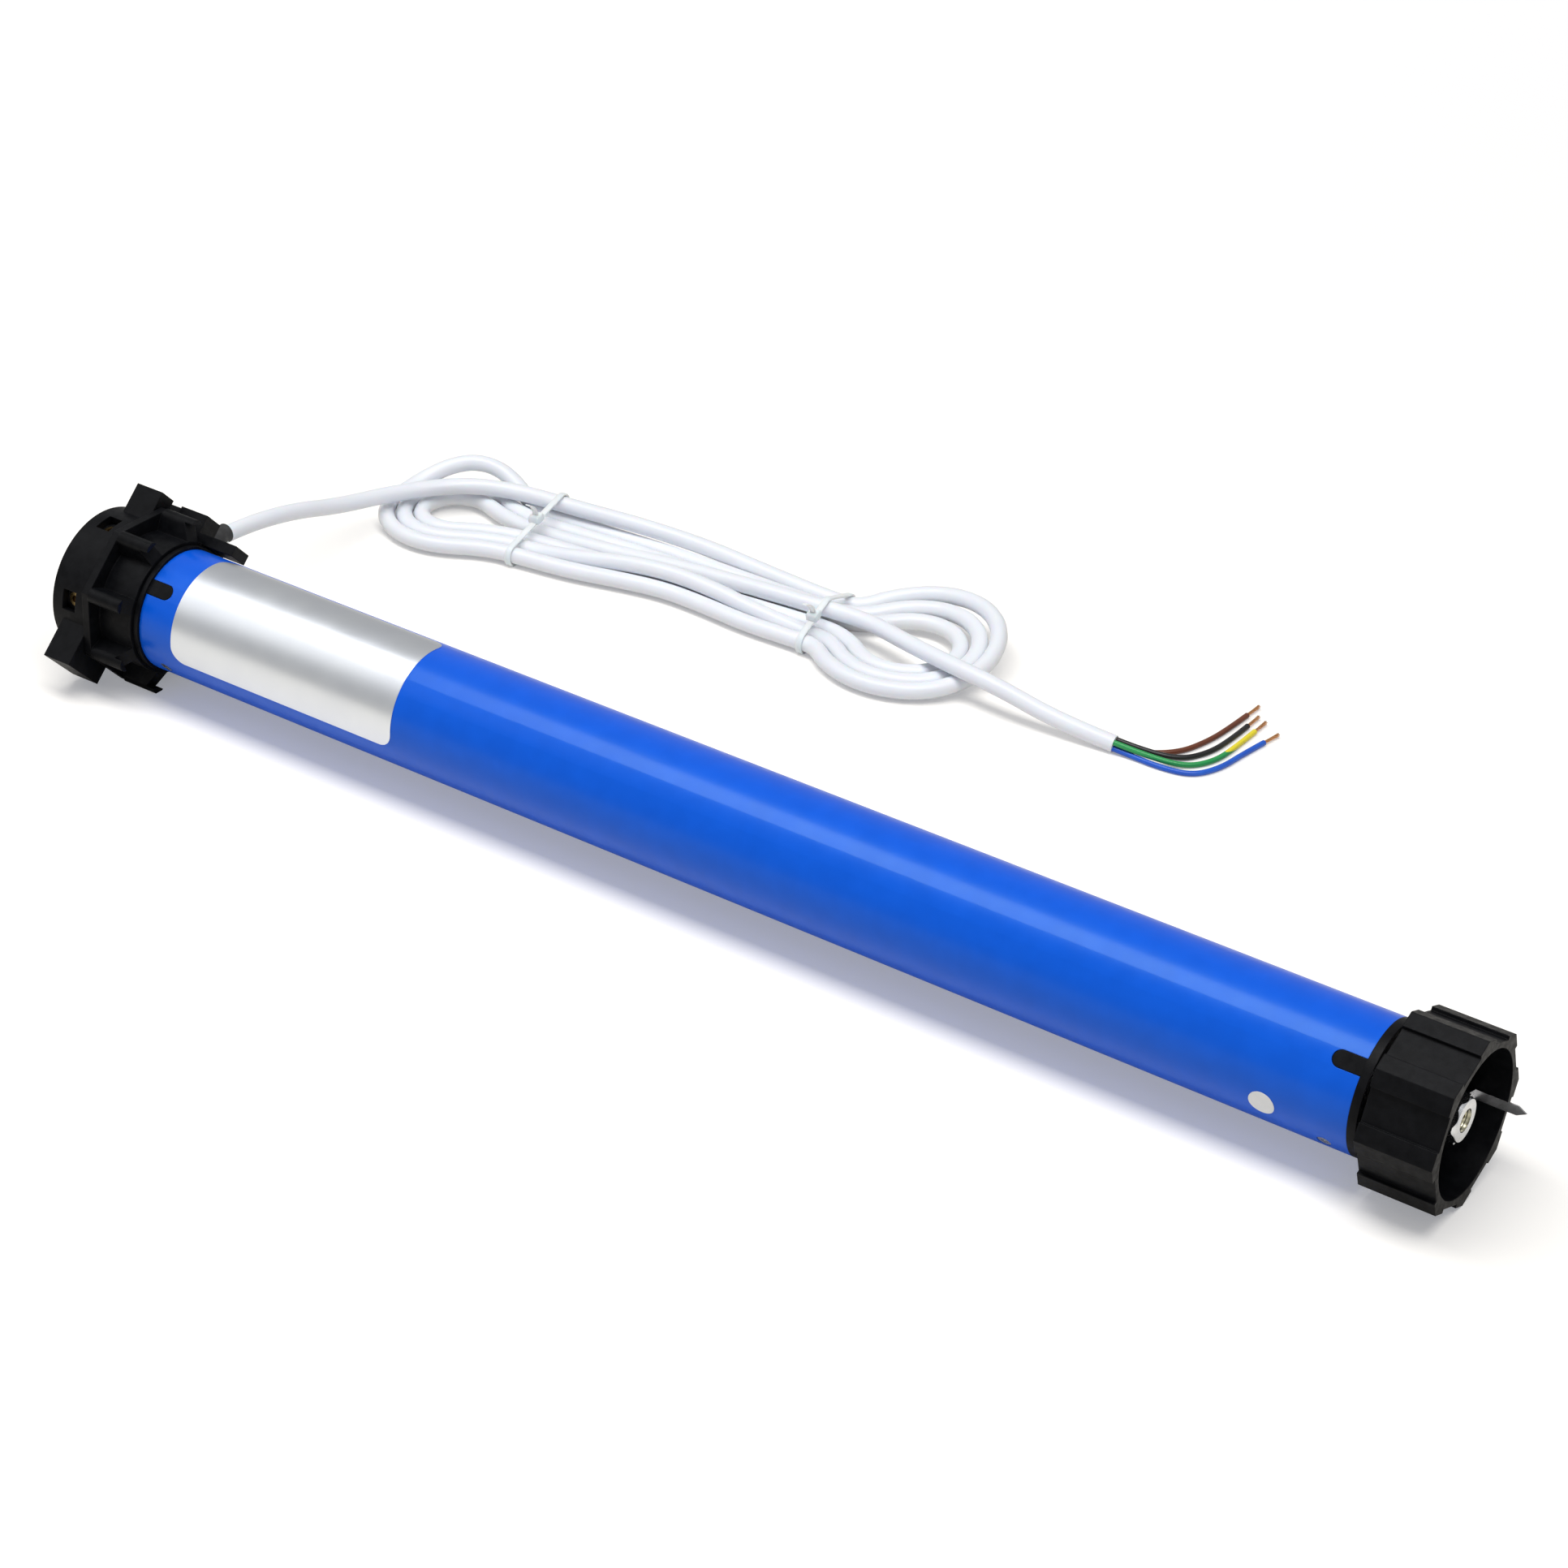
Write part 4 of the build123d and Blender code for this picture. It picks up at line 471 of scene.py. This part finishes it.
def grid_piece(name, surfaces, material):
    """One mesh object from arrays of points, each rows by columns by three; points that meet at
    seams and poles are merged, and faces turned outwards."""
    places, faces, count = [], [], 0
    for surface in surfaces:
        rows, columns = surface.shape[:2]
        places.append(surface.reshape(-1, 3))
        faces.append(grid_faces(rows, columns) + count)
        count += rows * columns
    mesh = bpy.data.meshes.new(name)
    mesh.from_pydata(np.vstack(places).tolist(), [], np.vstack(faces).tolist())
    shell = bmesh.new()
    shell.from_mesh(mesh)
    bmesh.ops.remove_doubles(shell, verts=shell.verts, dist=1e-7)
    bmesh.ops.recalc_face_normals(shell, faces=shell.faces)
    shell.to_mesh(mesh)
    shell.free()
    mesh.polygons.foreach_set("use_smooth", [True] * len(mesh.polygons))
    mesh.materials.append(material)
    piece = bpy.data.objects.new(name, mesh)
    bpy.context.scene.collection.objects.link(piece)
    return piece


# Its outline: radius = start - taper * share + ring height * cosine of the rings' phase, then
# down the far end, back along the bore and up the near end
relief_along = np.linspace(0, 1, 41)
relief_ripple = relief_ring_height * np.cos(2 * np.pi * relief_rings * relief_along)
relief_radius = relief_start_radius - relief_taper * relief_along + relief_ripple
relief_along = np.concatenate([[0], relief_along, [1, 0]])
relief_radius = np.concatenate([[relief_bore], relief_radius, [relief_bore, relief_bore]])
relief_turn = np.linspace(0, 2 * np.pi, 48, endpoint=False)
relief_surface = np.stack(
    [
        relief_place[0] + relief_radius[:, None] * np.sin(relief_turn),
        relief_place[1] + relief_along[:, None] * relief_length + 0 * relief_turn,
        relief_place[2] + relief_radius[:, None] * np.cos(relief_turn),
    ],
    axis=-1,
)
strain_relief = grid_piece("strain_relief", [relief_surface], gland_rubber)
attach(strain_relief, "housing")

# Cable ties: natural nylon straps pulled tight round the strands, each with its head on the
# hank's slope towards the motor and a cut tail that curls up out of the head.
natural_nylon = finish_material(
    "natural_nylon", (0.88, 0.89, 0.88), (0.92, 0.93, 0.92), (0.28, 0.4), 0.0, 1200, 0.1, 0.00004
)
natural_nylon.node_tree.nodes["Principled BSDF"].inputs["Subsurface Weight"].default_value = 0.2
strap_width = 2.6
strap_thickness = 0.9
strap_rounding = 0.25
strap_radius = 3.6
head_heights = np.array([0, 0, 0.1, 2.6, 2.95, 3.05, 3.05])
head_widths = np.array([0, 2.3, 2.3, 2.25, 2.0, 1.5, 0.0])
tail_foot = 2.9
tail_rise = 9.0
tail_lean = 4.5
tail_half_width = 1.15
tail_tip_half_width = 0.8
tail_half_thickness = 0.3
tie_tops = ((half_width, floor_strand + pitch), (0.0, floor_strand + 6.15))


def strap_path(corners, radius, count=14):
    """Closed outline in (w, z) that goes round the corners at a radius, as a tight band does:
    an arc about each corner from one side's normal to the next, straight between them."""
    corners = np.asarray(corners, float)
    sides = np.roll(corners, -1, axis=0) - corners
    headings = np.arctan2(sides[:, 1], sides[:, 0]) - np.pi / 2
    before = np.roll(headings, 1)
    turns = (headings - before) % (2 * np.pi)
    share = np.linspace(0, 1, count)
    angles = before[:, None] + turns[:, None] * share
    path = corners[:, None] + radius * np.stack([np.cos(angles), np.sin(angles)], axis=-1)
    return path.reshape(-1, 2)


def strap_surface(end, corners, radius):
    """A band of even width and thickness round the strands, its section carried on the outline."""
    inner = strap_path(corners, radius)
    outer = strap_path(corners, radius + strap_thickness)
    half = strap_width / 2
    edge = half - strap_rounding
    rings = [
        (inner, -edge),
        (inner * 0.75 + outer * 0.25, -half),
        (inner * 0.25 + outer * 0.75, -half),
        (outer, -edge),
        (outer, edge),
        (inner * 0.25 + outer * 0.75, half),
        (inner * 0.75 + outer * 0.25, half),
        (inner, edge),
    ]
    surface = np.stack(
        [in_hank(end * hank_half + side, ring[:, 0], ring[:, 1]) for ring, side in rings], axis=1
    )
    return np.concatenate([surface, surface[:1]]) / 1000


def close_ends(surface):
    """The surface with a ring added at each end that is drawn in to the end's middle."""
    columns = surface.shape[1]
    first = surface[:1].mean(axis=1, keepdims=True).repeat(columns, 1)
    last = surface[-1:].mean(axis=1, keepdims=True).repeat(columns, 1)
    return np.concatenate([first, surface, last])


def head_surface(end, seat, along, out):
    """Head of a tie: a squared circle, radius over the larger of |cosine| and |sine| to the
    power 0.85, carried out of its seat and shrunk over the top."""
    section = np.linspace(0, 2 * np.pi, 33)[:-1]
    squared = 1 / np.maximum(np.abs(np.cos(section)), np.abs(np.sin(section))) ** 0.85
    place = seat + head_heights[:, None] * out
    spread = head_widths[:, None] * squared * np.cos(section)
    lateral = head_widths[:, None] * squared * np.sin(section)
    return (
        in_hank(
            end * hank_half + lateral,
            place[:, :1] + spread * along[0],
            place[:, 1:] + spread * along[1],
        )
        / 1000
    )


def tail_surface(end, seat, along, out):
    """Tail of a tie: a thin strip that rises out of the head and leans over by the square of
    its share, closed at both ends."""
    bend = np.linspace(0, 1, 24)
    across = tail_rise * bend * out[0] - tail_lean * bend**2 * along[0]
    upward = tail_rise * bend * out[1] * (1 - 0.25 * bend)
    strip = seat + out * tail_foot + np.stack([across, upward], axis=-1)
    half = np.full(24, tail_half_width)
    half[-1] = tail_tip_half_width
    thick = tail_half_thickness * np.array([-1, -1, 1, 1])
    tail = in_hank(
        end * hank_half + half[:, None] * np.array([-1, 1, 1, -1]),
        strip[:, :1] + thick * along[0],
        strip[:, 1:] + thick * along[1],
    )
    return close_ends(tail) / 1000


tie_straps = []
tie_heads = []
for end, top in zip((-1, 1), tie_tops):
    near = np.array([-half_width, floor_strand])
    tie_straps.append(strap_surface(end, [near, (half_width, floor_strand), top], strap_radius))
    slope = np.arctan2(top[1] - near[1], top[0] - near[0])
    along = np.array([np.cos(slope), np.sin(slope)])
    out = np.array([-np.sin(slope), np.cos(slope)])
    seat = (near + top) / 2 + out * (strap_radius + strap_thickness / 2)
    tie_heads += [head_surface(end, seat, along, out), tail_surface(end, seat, along, out)]
cable_ties = grid_piece("nylon_ties", tie_straps + tie_heads, natural_nylon)
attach(cable_ties, "housing")
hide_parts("cable_ties")

# Cores: four stranded wires in brown, black, green and yellow, and blue insulation, fanned out
# of the cut sheath, curved away to the far side and stripped at their ends.
# Their routes are in millimetres too.


def unit(vector):
    """The vector over its own length."""
    return vector / np.linalg.norm(vector)


sheath_end = tail_points[-1]
sheath_way = unit(tail_points[-1] - tail_points[-2])
sheath_side = unit(np.cross((0, 0, 1), sheath_way))
sheath_up = np.cross(sheath_way, sheath_side)
core_spacing = 1.25
core_floor = 1.1
core_radius = 0.00105
core_pvc = {
    "brown": ((0.13, 0.035, 0.015), (0.16, 0.045, 0.02)),
    "black": ((0.01, 0.01, 0.011), (0.016, 0.016, 0.017)),
    "green_yellow": ((0.02, 0.30, 0.08), (0.03, 0.36, 0.10)),
    "blue": ((0.01, 0.09, 0.55), (0.015, 0.12, 0.62)),
}
core_signs = {"brown": (1, -1), "black": (1, 1), "green_yellow": (-1, 1), "blue": (-1, -1)}
core_first_run = {"brown": 7.0, "black": 10.0, "green_yellow": 12.0, "blue": 7.0}
core_route = {
    "brown": [(70.5, 185.5), (75.0, 200), (76.5, 213.5), (77.0, 226)],
    "black": [(73.5, 182.0), (79.5, 193), (81.0, 207), (81.0, 219)],
    "green_yellow": [(77.5, 178.5), (84.0, 189), (85.0, 203), (85.0, 217)],
    "blue": [(71.0, 172.5), (82.5, 175), (88.0, 186), (89.5, 200), (91.5, 212)],
}
bare_copper = finish_material(
    "bare_copper", (0.70, 0.34, 0.14), (0.85, 0.48, 0.24), (0.2, 0.32), 1.0, 2000, 0.1, 0.00003
)
bare_length = 8.6
strand_radius = 0.2
strand_lay = 9.0
strand_splay = 0.35


def strand_bundle(tip, way):
    """Surfaces of a twisted bundle: one straight strand and six on a helix round it, which
    splays by the cube of its share; each is a circle carried along its line and closed."""
    side = unit(np.cross((0, 0, 1), way))
    up = np.cross(way, side)
    along = np.linspace(0, bare_length, 22)
    splay = 1 + strand_splay * (along / bare_length) ** 3
    section = np.linspace(0, 2 * np.pi, 10, endpoint=False)
    ring = strand_radius * (np.cos(section)[:, None] * side + np.sin(section)[:, None] * up)
    surfaces = []
    for strand in range(7):
        phase = strand * np.pi / 3 + 2 * np.pi * along / strand_lay
        offset = 0.0 if strand == 0 else 2.05 * strand_radius
        middle = (
            tip
            + along[:, None] * way
            + (offset * splay * np.cos(phase))[:, None] * side
            + (offset * splay * np.sin(phase))[:, None] * up
        )
        surfaces.append(close_ends(middle[:, None] + ring) / 1000)
    return surfaces


def stripe_yellow(material):
    """Green insulation that turns yellow where Y + 4.5 Z, in metres, passes 0.62 of the way
    from 0.178 to 0.222, a slanting line along the core as it lies."""
    tree = material.node_tree
    split = tree.nodes.new("ShaderNodeSeparateXYZ")
    slant = tree.nodes.new("ShaderNodeMath")
    slant.operation = "MULTIPLY_ADD"
    slant.inputs[1].default_value = 4.5
    reach = tree.nodes.new("ShaderNodeMapRange")
    reach.inputs["From Min"].default_value = 0.178
    reach.inputs["From Max"].default_value = 0.222
    ramp = tree.nodes.new("ShaderNodeValToRGB")
    ramp.color_ramp.interpolation = "CONSTANT"
    ramp.color_ramp.elements[0].color = (0.02, 0.32, 0.08, 1)
    ramp.color_ramp.elements[1].position = 0.62
    ramp.color_ramp.elements[1].color = (0.85, 0.72, 0.03, 1)
    tree.links.new(tree.nodes["Texture Coordinate"].outputs["Object"], split.inputs["Vector"])
    tree.links.new(split.outputs["Z"], slant.inputs[0])
    tree.links.new(split.outputs["Y"], slant.inputs[2])
    tree.links.new(slant.outputs["Value"], reach.inputs["Value"])
    tree.links.new(reach.outputs["Result"], ramp.inputs["Fac"])
    tree.links.new(ramp.outputs["Color"], tree.nodes["Principled BSDF"].inputs["Base Color"])


bundles = []
for colour, (low, high) in core_pvc.items():
    signs = core_signs[colour]
    root = sheath_end + core_spacing * (signs[0] * sheath_side + signs[1] * sheath_up)
    points = [root, root + core_first_run[colour] * sheath_way]
    points += [np.array([x, y, core_floor]) for x, y in core_route[colour]]
    points = np.array(points)
    core_material = finish_material(
        "core_" + colour, low, high, (0.28, 0.36), 0.0, 900, 0.06, 0.00003
    )
    if colour == "green_yellow":
        stripe_yellow(core_material)
    piece = cord_curve("wire_" + colour, points / 1000, core_radius, core_material)
    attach(piece, "housing")
    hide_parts("core_" + colour)
    bundles += strand_bundle(points[-1], unit(points[-1] - points[-2]))
copper_strands = grid_piece("copper_strands", bundles, bare_copper)
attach(copper_strands, "housing")
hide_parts("copper_ends")


# Floor: pale paper that keeps the shadow. To the camera alone it also glows, more with the
# distance, so that it meets the white surround without an edge.
floor_half = 6
floor_mesh = bpy.data.meshes.new("floor")
floor_mesh.from_pydata(
    [
        (-floor_half, -floor_half, 0),
        (floor_half, -floor_half, 0),
        (floor_half, floor_half, 0),
        (-floor_half, floor_half, 0),
    ],
    [],
    [(0, 1, 2, 3)],
)
floor = bpy.data.objects.new("floor", floor_mesh)
bpy.context.scene.collection.objects.link(floor)
pale_floor = bpy.data.materials.new("pale_floor")
pale_floor.use_nodes = True
floor_tree = pale_floor.node_tree
floor_shader = floor_tree.nodes["Principled BSDF"]
floor_shader.inputs["Base Color"].default_value = (0.84, 0.81, 0.755, 1)
floor_shader.inputs["Specular IOR Level"].default_value = 0.1
floor_shader.inputs["Roughness"].default_value = 0.9
floor_glow = floor_tree.nodes.new("ShaderNodeEmission")
floor_add = floor_tree.nodes.new("ShaderNodeAddShader")
floor_ray = floor_tree.nodes.new("ShaderNodeLightPath")
floor_lift = floor_tree.nodes.new("ShaderNodeMath")
floor_lift.operation = "MULTIPLY"
floor_glow.inputs["Color"].default_value = (0.95, 0.98, 1.06, 1)
floor_where = floor_tree.nodes.new("ShaderNodeTexCoord")
floor_reach = floor_tree.nodes.new("ShaderNodeVectorMath")
floor_reach.operation = "LENGTH"
floor_fade = floor_tree.nodes.new("ShaderNodeMapRange")
floor_fade.inputs["From Min"].default_value = 0.4
floor_fade.inputs["From Max"].default_value = 2.0
floor_fade.inputs["To Min"].default_value = 0.27
floor_fade.inputs["To Max"].default_value = 0.9
floor_tree.links.new(floor_where.outputs["Object"], floor_reach.inputs[0])
floor_tree.links.new(floor_reach.outputs["Value"], floor_fade.inputs["Value"])
floor_tree.links.new(floor_ray.outputs["Is Camera Ray"], floor_lift.inputs[0])
floor_tree.links.new(floor_fade.outputs["Result"], floor_lift.inputs[1])
floor_tree.links.new(floor_lift.outputs["Value"], floor_glow.inputs["Strength"])
floor_tree.links.new(floor_shader.outputs["BSDF"], floor_add.inputs[0])
floor_tree.links.new(floor_glow.outputs["Emission"], floor_add.inputs[1])
floor_tree.links.new(floor_add.outputs["Shader"], floor_tree.nodes["Material Output"].inputs["Surface"])
floor.data.materials.append(pale_floor)

# Surround: white to the camera and through clear parts, dimmer in reflections, and dimmest as
# a light on the object.
world = bpy.data.worlds.new("surround")
bpy.context.scene.world = world
world.use_nodes = True
world_tree = world.node_tree
world_ray = world_tree.nodes.new("ShaderNodeLightPath")
world_any = world_tree.nodes.new("ShaderNodeMath")
world_any.operation = "MAXIMUM"
world_gloss = world_tree.nodes.new("ShaderNodeMath")
world_gloss.operation = "MULTIPLY_ADD"
world_gloss.inputs[1].default_value = 0.22
world_strength = world_tree.nodes.new("ShaderNodeMapRange")
world_strength.inputs["To Min"].default_value = 0.26
world_strength.inputs["To Max"].default_value = 1.0
world_tree.links.new(world_ray.outputs["Is Camera Ray"], world_any.inputs[0])
world_tree.links.new(world_ray.outputs["Is Transmission Ray"], world_any.inputs[1])
world_tree.links.new(world_ray.outputs["Is Glossy Ray"], world_gloss.inputs[0])
world_tree.links.new(world_any.outputs["Value"], world_gloss.inputs[2])
world_tree.links.new(world_gloss.outputs["Value"], world_strength.inputs["Value"])
world_tree.links.new(world_strength.outputs["Result"], world_tree.nodes["Background"].inputs["Strength"])
world_tree.nodes["Background"].inputs["Color"].default_value = (1, 1, 1, 1)


# Softboxes: a long one overhead, whose reflection runs along the tube, and two weaker ones at
# the left and in front.


def softbox(name, place, size, power):
    """A rectangular lamp at a place, turned to the origin: its back is the unit vector from
    there to the place, and its side is square to that and to the upright, or to Y overhead."""
    lamp = bpy.data.lights.new(name, "AREA")
    lamp.shape = "RECTANGLE"
    lamp.size, lamp.size_y = size
    lamp.energy = power
    box = bpy.data.objects.new(name, lamp)
    bpy.context.scene.collection.objects.link(box)
    back = unit(np.array(place))
    side = unit(np.cross((0, 1, 0) if abs(back[2]) > 0.9 else (0, 0, 1), back))
    up = np.cross(back, side)
    box.matrix_world = Matrix([*zip(side, up, back, place), (0, 0, 0, 1)])


softbox("top_softbox", (0.0, -0.15, 1.3), (1.9, 0.55), 19)
softbox("left_softbox", (-1.3, -0.6, 0.9), (0.9, 0.9), 2)
softbox("front_softbox", (0.5, -1.6, 0.9), (1.4, 0.7), 2)

bpy.context.scene.view_settings.view_transform = "Standard"
